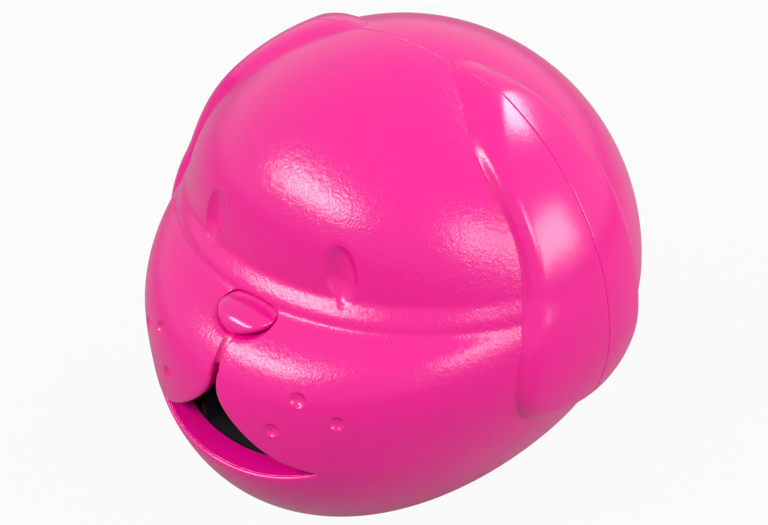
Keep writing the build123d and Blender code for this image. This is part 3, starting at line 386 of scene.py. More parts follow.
# ---- features of the skin
class Hollow:
    """An almond or round hollow in the face."""

    def __init__(self, x, height, long, wide, deep, tilt=0.0):
        side = 1 if x > 0 else -1
        self.place = face_place(x, height)
        self.out = face_normal(x, height)
        up = np.array((-side * sin(radians(tilt)), 0, cos(radians(tilt))))
        up = up - self.out * (up @ self.out)
        self.up = up / np.linalg.norm(up)
        self.across = np.cross(self.up, self.out)
        self.radius = ((wide / 2) ** 2 + deep**2) / (2 * deep)
        self.lift = self.radius - deep
        self.half = long / 2 / sqrt(1 - (self.lift / self.radius) ** 2)
        self.long, self.wide = long / 2, wide / 2

    def local(self, points):
        """Places along the hollow, across it and out of it."""
        offset = points - self.place
        return offset @ self.up, offset @ self.across, offset @ self.out

    def reach(self, points):
        """Distance from the hollow's edge, negative inside."""
        a, b, out = self.local(points)
        ring = np.sqrt((a / self.long) ** 2 + (b / self.wide) ** 2)
        return np.where(np.abs(out) < HOLLOW_ZONE, (ring - 1) * self.wide, FAR)

    def scoop(self, points, edge):
        """Moves the points onto the hollow's floor, with its edge rounded."""
        a, b, out = self.local(points)
        along = np.clip(1 - (a / self.half) ** 2, 0, None) * self.radius**2 - b**2
        floor = self.lift - np.sqrt(np.maximum(along, 0))
        inside = (along > 0) & (np.abs(out) < HOLLOW_ZONE)
        new = np.where(inside, soft_least(out, floor, edge), out)
        return points + (new - out)[:, None] * self.out


def hollows():
    """The two eyes and the six whisker dimples."""
    s = sizes()
    x, height = (place * MM for place in EYE_PLACE)
    eyes = [
        Hollow(side * x, height, s.eye_length, s.eye_width, s.eye_depth, EYE_TILT)
        for side in (-1, 1)
    ]
    dimples = [
        Hollow(side * x * MM, z * MM, 2 * s.dimple_radius, 2 * s.dimple_radius, s.dimple_depth)
        for x, z in DIMPLES
        for side in (-1, 1)
    ]
    return eyes, dimples


def nose_reach(points, margin):
    """Distance from the nose opening's edge, positive outside."""
    wide, low, high = (half * MM + margin for half in NOSE_HALF)
    height = points[:, 2] - NOSE_HEIGHT * MM
    ring = np.sqrt((points[:, 0] / wide) ** 2 + (height / np.where(height > 0, high, low)) ** 2)
    radial = np.sqrt(points[:, 0] ** 2 + height**2)
    return np.where(points[:, 1] < NOSE_REAR_Y * MM, radial * (1 - 1 / np.maximum(ring, 1e-6)), FAR)


def door_hinge():
    """How far down and out the hinge pin lies: on the skin, below the door's rim."""
    s = sizes()
    down = s.door_radius + HINGE_DROP * MM
    rise, run = sin(radians(DOOR_TILT)), cos(radians(DOOR_TILT))
    square = (run / s.skull_rear_depth) ** 2 + (rise / PACKED_CROWN) ** 2
    linear = 2 * down * run * rise * (1 / s.skull_rear_depth**2 - 1 / PACKED_CROWN**2)
    rest = (down * rise / s.skull_rear_depth) ** 2 + (down * run / PACKED_CROWN) ** 2 - 1
    return down, (-linear + sqrt(linear**2 - 4 * square * rest)) / (2 * square)


def door_reach(points, radius, half_tab, tab_end):
    """Distance from the outline of the round door and its hinge tab, positive inside."""
    x, down, out = (points @ np.array(DOOR_DIRECTION)).T
    disc = radius - np.hypot(x, down)
    tab = np.minimum(np.minimum(half_tab * MM - np.abs(x), tab_end * MM - down), down)
    return np.where(out > 30 * MM, np.maximum(disc, tab), -FAR)


def tunnel_reach(points):
    """Distance outside the nearest screw tunnel at the back."""
    gaps = [
        np.hypot(points[:, 0] - side * x * MM, points[:, 2] - z * MM) - TUNNEL_RADIUS * MM
        for x, z in SCREW_TUNNELS
        for side in (-1, 1)
    ]
    return np.where(points[:, 1] > 5 * MM, np.min(gaps, axis=0), FAR)


def fineness(points, rear):
    """Distance of each point from the nearest feature that needs small faces."""
    s = sizes()
    ear, _ = ear_reach(points)
    away = [np.where(np.abs(points[:, 0]) > EAR_ZONE[0], np.abs(ear), FAR)]
    if rear:
        away.append(np.abs(tunnel_reach(points)))
        for radius in (s.door_radius, s.door_radius + s.door_gap):
            away.append(np.abs(door_reach(points, radius, NOTCH_SIDE, DOOR_NOTCH[1])))
    else:
        front = points[:, 1] < FACE_ZONE
        away.append(np.where(front, np.abs(mouth_reach(points)), FAR))
        away.append(np.abs(nose_reach(points, NOSE_GAP * MM)))
        eyes, dimples = hollows()
        for hollow in eyes + dimples:
            away.append(np.maximum(hollow.reach(points), 0))
        low, high = 1.5 * MM, (NOSE_HEIGHT - 1) * MM
        beside = np.maximum(np.abs(points[:, 0]) - s.groove_width, 0)
        beyond = np.maximum(np.maximum(low - points[:, 2], points[:, 2] - high), 0)
        away.append(np.where(front, np.hypot(beside, beyond), FAR))
        valley = np.maximum(np.abs(points[:, 2] - 15 * MM) - 7 * MM, 1.8 * MM)
        away.append(np.where(points[:, 1] < -20 * MM, valley, FAR))
    return np.min(away, axis=0)


# ---- modelling helpers
def piece(name, bm):
    """A finished or helping object from a bmesh."""
    mesh = bpy.data.meshes.new(name)
    bm.to_mesh(mesh)
    bm.free()
    obj = bpy.data.objects.new(name, mesh)
    bpy.context.scene.collection.objects.link(obj)
    return obj


def packed_form(node):
    """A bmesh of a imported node, its loose triangles joined."""
    bm = bmesh.new()
    bm.from_mesh(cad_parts[node].data)
    bmesh.ops.remove_doubles(bm, verts=bm.verts[:], dist=1e-6)
    return bm


def halve(bm, place, outward, **kept):
    """Splits a whole bmesh at a plane, and clears one side."""
    everything = bm.verts[:] + bm.edges[:] + bm.faces[:]
    bmesh.ops.bisect_plane(bm, geom=everything, plane_co=place, plane_no=outward, **kept)


def move_new(bm, made, by):
    """Moves the vertices that an extrusion made."""
    moved = [item for item in made["geom"] if isinstance(item, bmesh.types.BMVert)]
    bmesh.ops.translate(bm, verts=moved, vec=by)


def sweep(bm, by):
    """Makes a closed solid of a bmesh's faces, drawn along a vector."""
    move_new(bm, bmesh.ops.extrude_face_region(bm, geom=bm.faces[:]), by)
    bmesh.ops.recalc_face_normals(bm, faces=bm.faces[:])


def half_sphere(rear, rows, columns, seam_shares=()):
    """Half a unit sphere, open at the seam, with narrow rows along the seam."""
    s = sizes()
    bm = bmesh.new()
    bmesh.ops.create_uvsphere(bm, u_segments=columns, v_segments=rows, radius=1)
    outward = Vector((0, 1 if rear else -1, 0))
    halve(bm, (0, 0, 0), outward, clear_inner=True)
    for share in seam_shares:
        near = [face for face in bm.faces if any(abs(vert.co.y) < 1e-6 for vert in face.verts)]
        beside = {item for face in near for item in (*face.verts, *face.edges, face)}
        place = outward * (share * s.seam_round / s.skull_rear_depth)
        bmesh.ops.bisect_plane(bm, geom=list(beside), plane_co=place, plane_no=outward)
    return bm


def refine(bm, rear):
    """Splits the faces near the features, finer in each round."""
    for reach in (2.8 * MM, 1.2 * MM, 0.5 * MM, 0.0):
        bm.faces.ensure_lookup_table()
        centres = np.array([face.calc_center_median().normalized()[:] for face in bm.faces])
        points = head_points(centres, rear, 0)
        if reach:
            chosen = np.flatnonzero(fineness(points, rear) < reach)
        else:
            edge, _ = ear_reach(points)
            chosen = np.flatnonzero((np.abs(edge) < 0.3 * MM) & (points[:, 2] > EAR_TOP))
        edges = {edge for index in chosen for edge in bm.faces[index].edges}
        bmesh.ops.subdivide_edges(bm, edges=list(edges), cuts=1, use_grid_fill=True)


def close_rim(bm):
    """Closes an open bmesh with a flat face."""
    rim = [edge for edge in bm.edges if edge.is_boundary]
    bmesh.ops.holes_fill(bm, edges=rim, sides=0)
    bmesh.ops.recalc_face_normals(bm, faces=bm.faces[:])


def ear_lift(inside):
    """How far an ear stands out: a steep foot that runs into a round shoulder."""
    s = sizes()
    share = 1 - np.clip(inside / s.ear_shoulder, EAR_FOOT / s.ear_shoulder, 1)
    return s.ear_thickness * np.sqrt(1 - share**2) * np.clip(inside / EAR_FOOT, 0, 1)


def outer_skin(directions, rear, door):
    """The head's outer surface with ears, hollows and rounded edges."""
    s = sizes()
    plain = head_points(directions, rear, 0)
    seam = quarter_round(np.abs(plain[:, 1]), s.seam_round)
    points = head_points(directions, rear, seam)
    # raised ears, mapped from the side so that their outline stays exact
    inside, nearest = ear_reach(plain)
    near = (np.abs(plain[:, 0]) > EAR_ZONE[0]) & (np.abs(plain[:, 1]) < EAR_ZONE[1])
    snapped = near & (np.abs(inside) < np.where(plain[:, 2] > EAR_TOP, *EAR_SNAP))
    y = np.where(snapped, nearest[:, 0], plain[:, 1])
    height = np.where(snapped, nearest[:, 1], plain[:, 2])
    raised = near & (inside > 0) & ~snapped
    lift = np.where(raised, ear_lift(inside), 0)
    side = np.sign(plain[:, 0]) * side_reach(y, height, rear, seam - lift)
    changed = raised | snapped
    points[changed] = np.stack((side, y, height), 1)[changed]
    if rear:
        points[:, 1] -= quarter_round(tunnel_reach(points), TUNNEL_ROUND * MM)
        radius = s.door_radius + (0 if door else s.door_gap)
        reach = door_reach(points, radius, *(DOOR_TAB if door else DOOR_NOTCH))
        drop = quarter_round(reach if door else -reach, s.door_round)
        points -= drop[:, None] * np.array(DOOR_DIRECTION @ Vector((0, 0, 1)))
        return points
    eyes, dimples = hollows()
    for group, edge in ((eyes, EYE_EDGE), (dimples, DIMPLE_EDGE)):
        for hollow in group:
            points = hollow.scoop(points, edge)
    wall = np.clip((s.groove_width / 2 - np.abs(points[:, 0])) / GROOVE_WALL + 0.5, 0, 1)
    foot = np.clip(points[:, 2] / GROOVE_START - 1, 0, 1)
    head = points[:, 2] < NOSE_HEIGHT * MM
    front = points[:, 1] < FACE_ZONE
    sunk = wall * wall * (3 - 2 * wall) * foot * head * front
    points[:, 1] += s.groove_depth * sunk
    points[:, 1] += front * quarter_round(-mouth_reach(points), s.mouth_round)
    points[:, 1] += front * quarter_round(nose_reach(points, NOSE_GAP * MM), s.nose_round)
    return points


def place_points(obj, points):
    """Gives an object's mesh new places, measured from the head's middle."""
    placed = points + (0, 0, sizes().head_middle)
    obj.data.vertices.foreach_set("co", placed.astype(np.float32).ravel())
    obj.data.update()


def coordinates(obj):
    """Where an object's points are."""
    co = np.zeros(len(obj.data.vertices) * 3, np.float32)
    obj.data.vertices.foreach_get("co", co)
    return co.reshape(-1, 3).astype(float)


def directions_of(obj):
    """Unit directions of an object's points from the origin."""
    co = coordinates(obj)
    return co / np.maximum(np.linalg.norm(co, axis=1), 1e-9)[:, None]


def skin_solid(name, rear, door=False):
    """The closed outer form of one half of the head."""
    s = sizes()
    bm = half_sphere(rear, s.rows, s.columns, seam_shares=(1.1, 0.75, 0.35))
    refine(bm, rear)
    close_rim(bm)
    obj = piece(name, bm)
    place_points(obj, outer_skin(directions_of(obj), rear, door))
    bm = bmesh.new()
    bm.from_mesh(obj.data)
    squares = [face for face in bm.faces if len(face.verts) == 4]
    bmesh.ops.triangulate(bm, faces=squares, quad_method="SHORT_EDGE")
    bm.to_mesh(obj.data)
    bm.free()
    return obj


def hollow_of(node, rear):
    """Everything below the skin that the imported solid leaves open."""
    bm = half_sphere(rear, rows=90, columns=128)
    close_rim(bm)
    inner = piece("inner_form", bm)
    directions = directions_of(inner)
    points = head_points(directions, rear, SKIN * MM)
    points[:, 2] = np.maximum(points[:, 2], FLOOR_SKIN * MM - sizes().base_drop)
    past_seam = -1 * MM if rear else 1 * MM
    points[np.abs(directions[:, 1]) < 1e-5, 1] = past_seam
    place_points(inner, points)
    return carve(inner, [piece("kept_shapes", packed_form(node))])


def carve(obj, tools, operation="DIFFERENCE"):
    """Applies closed tools to an object and removes them."""
    for tool in tools:
        cut = obj.modifiers.new(tool.name, "BOOLEAN")
        cut.operation, cut.solver, cut.object = operation, "MANIFOLD", tool
    bpy.context.view_layer.update()
    result = bpy.data.meshes.new_from_object(
        obj.evaluated_get(bpy.context.evaluated_depsgraph_get())
    )
    obj.modifiers.clear()
    before = obj.data
    obj.data = result
    bpy.data.meshes.remove(before)
    for tool in tools:
        mesh = tool.data
        bpy.data.objects.remove(tool)
        bpy.data.meshes.remove(mesh)
    if not obj.data.polygons:
        raise RuntimeError(f"nothing is left of {obj.name}")
    return obj


def prism(name, outline, start, end, matrix=None):
    """A closed prism from an (x, z) outline, running along Y from start to end."""
    bm = bmesh.new()
    bm.faces.new([bm.verts.new((x, start, z)) for x, z in outline])
    sweep(bm, (0, end - start, 0))
    if matrix:
        bmesh.ops.transform(bm, matrix=matrix, verts=bm.verts[:])
    return piece(name, bm)


def round_bar(name, radius, start, end, matrix, segments=96, edge=0.0):
    """A closed round bar along the matrix's Z from start to end, its ends bevelled by edge."""
    bm = bmesh.new()
    bmesh.ops.create_cone(
        bm, cap_ends=True, segments=segments, radius1=radius, radius2=radius, depth=end - start
    )
    bmesh.ops.translate(bm, verts=bm.verts[:], vec=(0, 0, (start + end) / 2))
    if edge:
        rims = [e for e in bm.edges if abs(e.verts[0].co.z - e.verts[1].co.z) < 1e-7]
        bmesh.ops.bevel(
            bm, geom=rims, offset=edge, segments=4, profile=0.5, affect="EDGES", material=-1
        )
    bmesh.ops.transform(bm, matrix=matrix, verts=bm.verts[:])
    return piece(name, bm)


def at(x, y, height):
    """A move to a place given in millimetres from the head's middle."""
    return Matrix.Translation((x * MM, y * MM, sizes().head_middle + height * MM))


def door_frame():
    """The fill door's own directions, from the head's middle: across, down and outward."""
    return Matrix.Translation((0, 0, sizes().head_middle)) @ DOOR_DIRECTION.to_4x4()


def hinge_frame():
    """The door's directions, from the middle of the hinge pin."""
    return door_frame() @ Matrix.Translation((0, *door_hinge()))


def hinge_bar(name, start, end, radius=HINGE_RADIUS, segments=64, edge=HINGE_EDGE):
    """A round bar along the hinge pin, in millimetres."""
    along_pin = hinge_frame() @ Matrix.Rotation(radians(90), 4, "Y")
    measures = (measure * MM for measure in (radius, start, end))
    return round_bar(name, *measures, along_pin, segments, edge * MM)


def pin_bore(radius):
    """The tool that bores for the hinge pin."""
    return hinge_bar("bore_tool", -20, 20, radius, segments=48, edge=0)


def from_pin(ends):
    """Two places on the door's outward axis, given from the hinge pin."""
    return [door_hinge()[1] + end * MM for end in ends]


def box_outline(half, start, end):
    """A rectangle from half its width, its start and its end."""
    return ((-half, start), (half, start), (half, end), (-half, end))


def base_recess_tool():
    """The round recess that the non-slip pad sits in."""
    radius, recess, y = PAD_RECESS
    low = sizes().head_middle - sizes().base_drop
    return round_bar(
        "base_recess_tool", radius * MM, low - 1 * MM, low + (recess + 0.001) * MM,
        Matrix.Translation((0, y * MM, 0)), segments=160,
    )


def ellipse(wide, tall):
    """Points around an ellipse, from half its width and half its height."""
    turn = np.linspace(0, 2 * np.pi, 192, endpoint=False)
    return np.stack((wide * np.cos(turn), tall * np.sin(turn)), 1)


def nose_rim(margin):
    """Outline of the nose, flatter above its middle, from the nose's middle."""
    wide, low, high = (half * MM + margin for half in NOSE_HALF)
    rim = ellipse(wide, 1.0)
    rim[:, 1] *= np.where(rim[:, 1] > 0, high, low)
    return rim


def dress(obj, finish):
    """Smooth shading with crisp edges, and one finish."""
    obj.data.shade_smooth()
    obj.data.set_sharp_from_angle(angle=radians(38))
    obj.data.materials.clear()
    obj.data.materials.append(finish)


def mark_polish(obj, polish):
    """Stores how smooth the mould is at each point."""
    layer = obj.data.attributes.new("polish", "FLOAT", "POINT")
    layer.data.foreach_set("value", polish.astype(np.float32))


def shell_polish(shell, rear):
    """Ears, hollows and edges come from polished parts of the mould."""
    points = coordinates(shell) - (0, 0, sizes().head_middle)
    plain = side_reach(points[:, 1], np.clip(points[:, 2], -53 * MM, 58.5 * MM), rear, 0)
    inside, _ = ear_reach(points)
    ear = np.clip((np.abs(points[:, 0]) - plain) / EAR_POLISH, 0, 1) * (inside > -0.2 * MM)
    polish = np.maximum(POLISHED_EDGE * ear, POLISHED_BACK if rear else 0.0)
    if not rear:
        eyes, dimples = hollows()
        for hollow in eyes + dimples:
            within = np.clip(0.5 - hollow.reach(points) / HOLLOW_POLISH, 0, 1)
            polish = np.maximum(polish, within)
        front = points[:, 1] < FACE_ZONE
        mouth = np.clip(mouth_reach(points) / EDGE_POLISH + 1.2, 0, 1)
        polish = np.maximum(polish, POLISHED_EDGE * front * mouth)
    return polish


# ---- finishes
class Wire:
    """A shader socket that Python expressions can use."""

    def __init__(self, graph, socket):
        self.graph, self.socket = graph, socket

    def math(self, operation, first, second):
        return self.graph.node("ShaderNodeMath", {"operation": operation}, {0: first, 1: second})

    def most(self, other):
        return self.math("MAXIMUM", self, other)

    def __add__(self, other):
        return self.math("ADD", self, other)

    __radd__ = __add__

    def __sub__(self, other):
        return self.math("SUBTRACT", self, other)

    def __rsub__(self, other):
        return self.math("SUBTRACT", other, self)

    def __mul__(self, other):
        return self.math("MULTIPLY", self, other)

    __rmul__ = __mul__


class Graph:
    """The shader nodes of a material or of the world."""

    def __init__(self, tree):
        self.tree = tree

    def feed(self, socket, value):
        """Links a wire to a socket, or sets the socket to a constant."""
        if isinstance(value, Wire):
            self.tree.links.new(value.socket, socket)
        else:
            socket.default_value = value

    def node(self, kind, settings=None, sockets=None, output=0):
        """Adds a node, sets it, fills its sockets and returns one of its outputs."""
        made = self.tree.nodes.new(kind)
        for name, value in (settings or {}).items():
            setattr(made, name, value)
        for key, value in (sockets or {}).items():
            self.feed(made.inputs[key], value)
        return Wire(self, made.outputs[output])

    def rays(self, kind):
        """One for rays of this kind, nothing for others."""
        return self.node("ShaderNodeLightPath", output=f"Is {kind} Ray")


class Finish(Graph):
    """One procedural material."""

    def __init__(self, name, **constants):
        self.material = bpy.data.materials.new(name)
        self.material.use_nodes = True
        super().__init__(self.material.node_tree)
        self.tree.nodes.clear()
        self.surface = self.tree.nodes.new("ShaderNodeOutputMaterial").inputs["Surface"]
        self.shader = self.tree.nodes.new("ShaderNodeBsdfPrincipled")
        self.tree.links.new(self.shader.outputs[0], self.surface)
        for socket, value in constants.items():
            self.feed(self.shader.inputs[socket.replace("_", " ")], value)

    def place(self):
        """Places fixed to the object."""
        return self.node("ShaderNodeTexCoord", output="Object")

    def noise(self, scale, detail=2.0, roughness=0.5):
        """Noise fixed to the object, with this many repeats in a metre."""
        sockets = {"Vector": self.place(), "Scale": scale, "Detail": detail, "Roughness": roughness}
        return self.node("ShaderNodeTexNoise", {}, sockets)

    def tint(self, factor, rgb, dark, light):
        """Base colour between two shades of a colour, given by their brightness."""
        first, last = ((*(min(part * share, 1) for part in rgb), 1) for share in (dark, light))
        mix = {0: factor, 6: first, 7: last}
        mixed = self.node("ShaderNodeMix", {"data_type": "RGBA"}, mix, 2)
        self.feed(self.shader.inputs["Base Color"], mixed)

    def rough(self, value):
        self.feed(self.shader.inputs["Roughness"], value)

    def bump(self, height, distance):
        sockets = {"Height": height, "Distance": distance}
        self.feed(self.shader.inputs["Normal"], self.node("ShaderNodeBump", {}, sockets))


def moulded_pink(name):
    """Hot pink plastic: fine spark-eroded texture, smoother where the mould is polished."""
    pink = finishes().pink
    made = Finish(name, Specular_IOR_Level=0.5, IOR=1.5)
    polish = made.node("ShaderNodeAttribute", {"attribute_name": "polish"}, output="Fac")
    flow = made.noise(28, 3)
    made.tint(flow, pink, 0.94, 1.04)
    grain = made.noise(1900, 2, 0.6)
    peel = made.noise(720, 2)
    centre = made.node(
        "ShaderNodeMapping", {"vector_type": "POINT"},
        {"Vector": made.place(), "Location": (-0.0245, 0.0405, -0.0905)},
    )
    rings = made.node(
        "ShaderNodeTexWave", {"wave_type": "RINGS", "rings_direction": "SPHERICAL"},
        {"Vector": centre, "Scale": 420, "Distortion": 0.6, "Detail": 1},
    )
    away = made.node("ShaderNodeVectorMath", {"operation": "LENGTH"}, {0: centre}, "Value")
    zone = made.node(
        "ShaderNodeMapRange", {"interpolation_type": "SMOOTHSTEP"},
        {"Value": away, "From Min": 0.017, "From Max": 0.004, "To Min": 0.0, "To Max": 0.10},
    )
    texture = grain * 0.6 + peel * 0.7
    made.bump(texture * (1 - 0.93 * polish) + rings * zone, 0.00012)
    made.rough(0.19 + 0.06 * grain - 0.01 * polish)
    return made.material


def polished_pink(name):
    """Hot pink plastic from a polished mould, with faint flow marks."""
    pink = finishes().pink
    made = Finish(name, Specular_IOR_Level=0.5, IOR=1.5)
    made.tint(made.noise(60, 3), pink, 0.95, 1.04)
    scuff = made.noise(900, 4, 0.65)
    made.rough(0.12 + 0.1 * scuff)
    made.bump(made.noise(420, 2), 0.00001)
    return made.material


def inner_plastic(name, rgb, roughness, grain_scale):
    """Plain moulded plastic with a fine matt texture."""
    made = Finish(name, Specular_IOR_Level=0.12, IOR=1.5)
    made.tint(made.noise(90, 4), rgb, 0.8, 1.35)
    grain = made.noise(grain_scale, 3, 0.6)
    made.rough(roughness + 0.14 * grain)
    made.bump(grain, 0.00004)
    return made.material


def plated_steel(name, rgb, roughness):
    """Bright plated steel with fine drawn lines and slight clouding."""
    made = Finish(name, Metallic=1.0)
    cloud = made.noise(300, 4)
    made.tint(cloud, rgb, 0.82, 1.12)
    lines = made.noise(2600, 2)
    made.rough(roughness + 0.16 * lines)
    made.bump(lines, 0.00001)
    return made.material


def cast_iron(name, rgb):
    """Rough cast surface with darker pits."""
    made = Finish(name, Metallic=0.75, Specular_IOR_Level=0.4)
    pits = made.noise(520, 5, 0.7)
    made.tint(pits, rgb, 0.45, 1.5)
    made.rough(0.52 + 0.3 * pits)
    made.bump(pits, 0.00018)
    return made.material


def soft_rubber(name, rgb, dots):
    """Matt rubber with a fine nap, and small raised dots where it grips the floor."""
    made = Finish(name, Specular_IOR_Level=0.25, IOR=1.5)
    nap = made.noise(1500, 4, 0.6)
    made.tint(nap, rgb, 0.7, 1.7)
    made.rough(0.72 + 0.18 * nap)
    if dots:
        cells = made.node(
            "ShaderNodeTexVoronoi", {"feature": "F1"},
            {"Vector": made.place(), "Scale": 420, "Randomness": 0.0}, "Distance",
        )
        slope = {"Value": cells, "From Min": 0.25, "From Max": 0.42, "To Min": 1.0, "To Max": 0.0}
        studs = made.node("ShaderNodeMapRange", {}, slope)
        made.bump(studs + 0.15 * nap, 0.0002)
    else:
        made.bump(nap, 0.00004)
    return made.material


def finish_nodes(material, *nodes):
    """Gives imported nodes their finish."""
    for name in nodes:
        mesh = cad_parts[name].data
        mesh.materials.clear()
        mesh.materials.append(material)


# ---- operators
class BuildFrontShell(bpy.types.Operator):
    """Front half of the head: face, muzzle, eyes, dimples, mouth and the ears' front parts"""

    bl_idname = "dispenser.front_shell"
    bl_label = "Front Shell"

    def execute(self, context):
        s = sizes()
        shell = skin_solid("front_head_shell", rear=False)
        carve(shell, [hollow_of("front_shell", rear=False)])
        outline = mouth_outline()
        middle = outline.mean(0)
        larger = middle + (outline - middle) * MOUTH_EASE + (0, s.head_middle)
        before_face = -110 * MM
        opening = prism("mouth_tool", larger, before_face, MOUTH_END_Y * MM)
        rim = nose_rim(NOSE_GAP * MM + HAIR) + (0, s.head_middle + NOSE_HEIGHT * MM)
        nose_way = prism("nose_tool", rim, before_face, NOSE_WAY_END_Y * MM)
        carve(shell, [opening, nose_way, base_recess_tool()])
        carve(shell, [lip_ledge()], "UNION")
        mark_polish(shell, shell_polish(shell, rear=False))
        dress(shell, moulded_pink("moulded_pink_front"))
        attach(shell, "housing")
        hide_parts("front_shell")
        return {"FINISHED"}


def ledge_lines():
    """The ledge's upper edges behind the lip: just inside the skin, and where the ledge ends."""
    s = sizes()
    lip = smooth_outline(MOUTH_LIP, closed=False, per_span=16)[2:-2]
    behind, above = (measure * MM for measure in LEDGE_START)
    outer, inner = [], []
    for x, height in lip:
        y = face_place(x, height)[1]
        outer.append((x, y + behind, height + s.head_middle + above))
        inner.append((x, y + s.ledge_depth, height + s.head_middle + s.ledge_rise))
    return outer, inner


def lip_ledge():
    """The gently rising ledge that carries treats over the lower lip."""
    outer, inner = ledge_lines()
    bm = bmesh.new()
    line = [bm.verts.new(place) for place in outer]
    for a, b in zip(line, line[1:]):
        bm.edges.new((a, b))
    bmesh.ops.extrude_edge_only(bm, edges=bm.edges[:])
    bm.verts.ensure_lookup_table()
    for vert, place in zip(bm.verts[len(line):], inner):
        vert.co = place
    sweep(bm, (0, 0, -LEDGE_THICKNESS * MM))
    return piece("lip_ledge", bm)


class BuildFeedChute(bpy.types.Operator):
    """Feed chute, its tray's end following the ledge behind the lip"""

    bl_idname = "dispenser.feed_chute"
    bl_label = "Feed Chute"

    def execute(self, context):
        chute = piece("feed_chute_moulding", packed_form("feed_chute"))
        bm = bmesh.new()
        _, inner = ledge_lines()
        front = [bm.verts.new((x, y + TRAY_GAP * MM, 20 * MM)) for x, y, _ in inner]
        front += [bm.verts.new((side * 30 * MM, -80 * MM, 20 * MM)) for side in (1, -1)]
        bm.faces.new(front)
        sweep(bm, (0, 0, 30 * MM))
        carve(chute, [piece("tray_end_tool", bm)])
        # The tray seen through the mouth is near black partly as painted shade for the mouth's shadowed
        # inside.
        dress(chute, inner_plastic("black_and_shade_moulding", finishes().black_and_shade, 0.7, 1800))
        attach(chute, "housing")
        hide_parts("feed_chute")
        return {"FINISHED"}


class BuildRearShell(bpy.types.Operator):
    """Back half of the head with the fill opening, hinge eyes and screw tunnels"""

    bl_idname = "dispenser.rear_shell"
    bl_label = "Rear Shell"

    def execute(self, context):
        s = sizes()
        shell = skin_solid("rear_head_shell", rear=True)
        carve(shell, [hollow_of("rear_shell", rear=True)])
        backward = Matrix.Rotation(radians(-90), 4, "X")
        for start in HINGE_EYES:
            end = start + HINGE_EYE_LENGTH
            carve(shell, [hinge_bar("hinge_eye", start, end)], "UNION")
            outline = box_outline(HINGE_EYE_LENGTH / 2 * MM, -HINGE_RADIUS * MM, HINGE_RADIUS * MM)
            below = hinge_frame() @ Matrix.Translation(((start + end) / 2 * MM, 0, 0)) @ backward
            carve(shell, [prism("hinge_root", outline, 0, HINGE_ROOT * MM, below)], "UNION")
        tools = [base_recess_tool()]
        for x, height in SCREW_TUNNELS:
            for side in (-1, 1):
                way = at(side * x, TUNNEL_START_Y, height) @ backward
                tools.append(round_bar("tunnel_tool", TUNNEL_RADIUS * MM + HAIR, 0, 80 * MM, way))
        radius, ends = s.door_radius + s.door_gap + HAIR, from_pin(OPENING_ENDS)
        tools.append(round_bar("opening_tool", radius, *ends, door_frame(), segments=192))
        notch = box_outline(DOOR_NOTCH[0] * MM + HAIR, 0, DOOR_NOTCH[1] * MM)
        tools.append(prism("notch_tool", notch, *from_pin(NOTCH_ENDS), door_frame() @ LYING))
        tools.append(pin_bore(PIN_BORES[0]))
        for tool in tools:
            carve(shell, [tool])
        mark_polish(shell, shell_polish(shell, rear=True))
        dress(shell, moulded_pink("moulded_pink_rear"))
        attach(shell, "housing")
        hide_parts("rear_shell")
        return {"FINISHED"}


class BuildFillDoor(bpy.types.Operator):
    """Round fill door at the back, with its skirt and hinge barrel"""

    bl_idname = "dispenser.fill_door"
    bl_label = "Fill Door"

    def execute(self, context):
        s = sizes()
        door = skin_solid("fill_door_panel", rear=True, door=True)
        outline = ellipse(s.door_radius + HAIR, s.door_radius + HAIR)
        disc = prism("disc_tool", outline, *from_pin(DOOR_ENDS), door_frame() @ LYING)
        half, end = DOOR_TAB
        tab = box_outline(half * MM, 5 * MM, end * MM)
        web = prism("tab_tool", tab, *from_pin(TAB_ENDS), door_frame() @ LYING)
        carve(disc, [web], "UNION")
        carve(door, [hollow_of("fill_door", rear=True)])
        carve(door, [disc], "INTERSECT")
        carve(door, [hinge_bar("barrel", -half, half)], "UNION")
        carve(door, [pin_bore(PIN_BORES[1])])
        mark_polish(door, np.full(len(door.data.vertices), POLISHED_BACK))
        dress(door, moulded_pink("moulded_pink_door"))
        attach(door, "door")
        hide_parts("fill_door")
        return {"FINISHED"}


class BuildNoseButton(bpy.types.Operator):
    """Oval nose that slopes like the muzzle, on its shaft, flange, stem and clevis"""

    bl_idname = "dispenser.nose_button"
    bl_label = "Nose Button"

    def execute(self, context):
        wide, low, high = (half * MM for half in NOSE_HALF)
        bm = bmesh.new()
        bmesh.ops.create_uvsphere(bm, u_segments=128, v_segments=96, radius=1)
        bmesh.ops.rotate(bm, verts=bm.verts[:], matrix=Matrix.Rotation(radians(90), 3, "X"))
        halve(bm, (0, 0, 0), (0, 1, 0), clear_outer=True)
        for vert in bm.verts:
            x, z = vert.co.x, vert.co.z
            from_middle = min(sqrt(x**2 + z**2), 1)
            sag = (1 - from_middle) * NOSE_SAG * MM
            out = sqrt(1 - from_middle**2) * NOSE_DOME * MM
            vert.co = (x * wide, -out, z * (high if z > 0 else low) - sag)
        rim = [edge for edge in bm.edges if edge.is_boundary]
        move_new(bm, bmesh.ops.extrude_edge_only(bm, edges=rim), (0, NOSE_NECK * MM, 0))
        close_rim(bm)
        nose = piece("nose_push_button", bm)
        nose.data.transform(at(0, NOSE_ROOT_Y, NOSE_HEIGHT))
        bm = packed_form("nose_button")
        halve(bm, (0, (NOSE_ROOT_Y + NOSE_NECK - 0.1) * MM, 0), (0, -1, 0), clear_outer=True)
        close_rim(bm)
        carve(nose, [piece("shaft", bm)], "UNION")
        dress(nose, polished_pink("polished_pink"))
        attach(nose, "nose")
        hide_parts("nose_button")
        return {"FINISHED"}


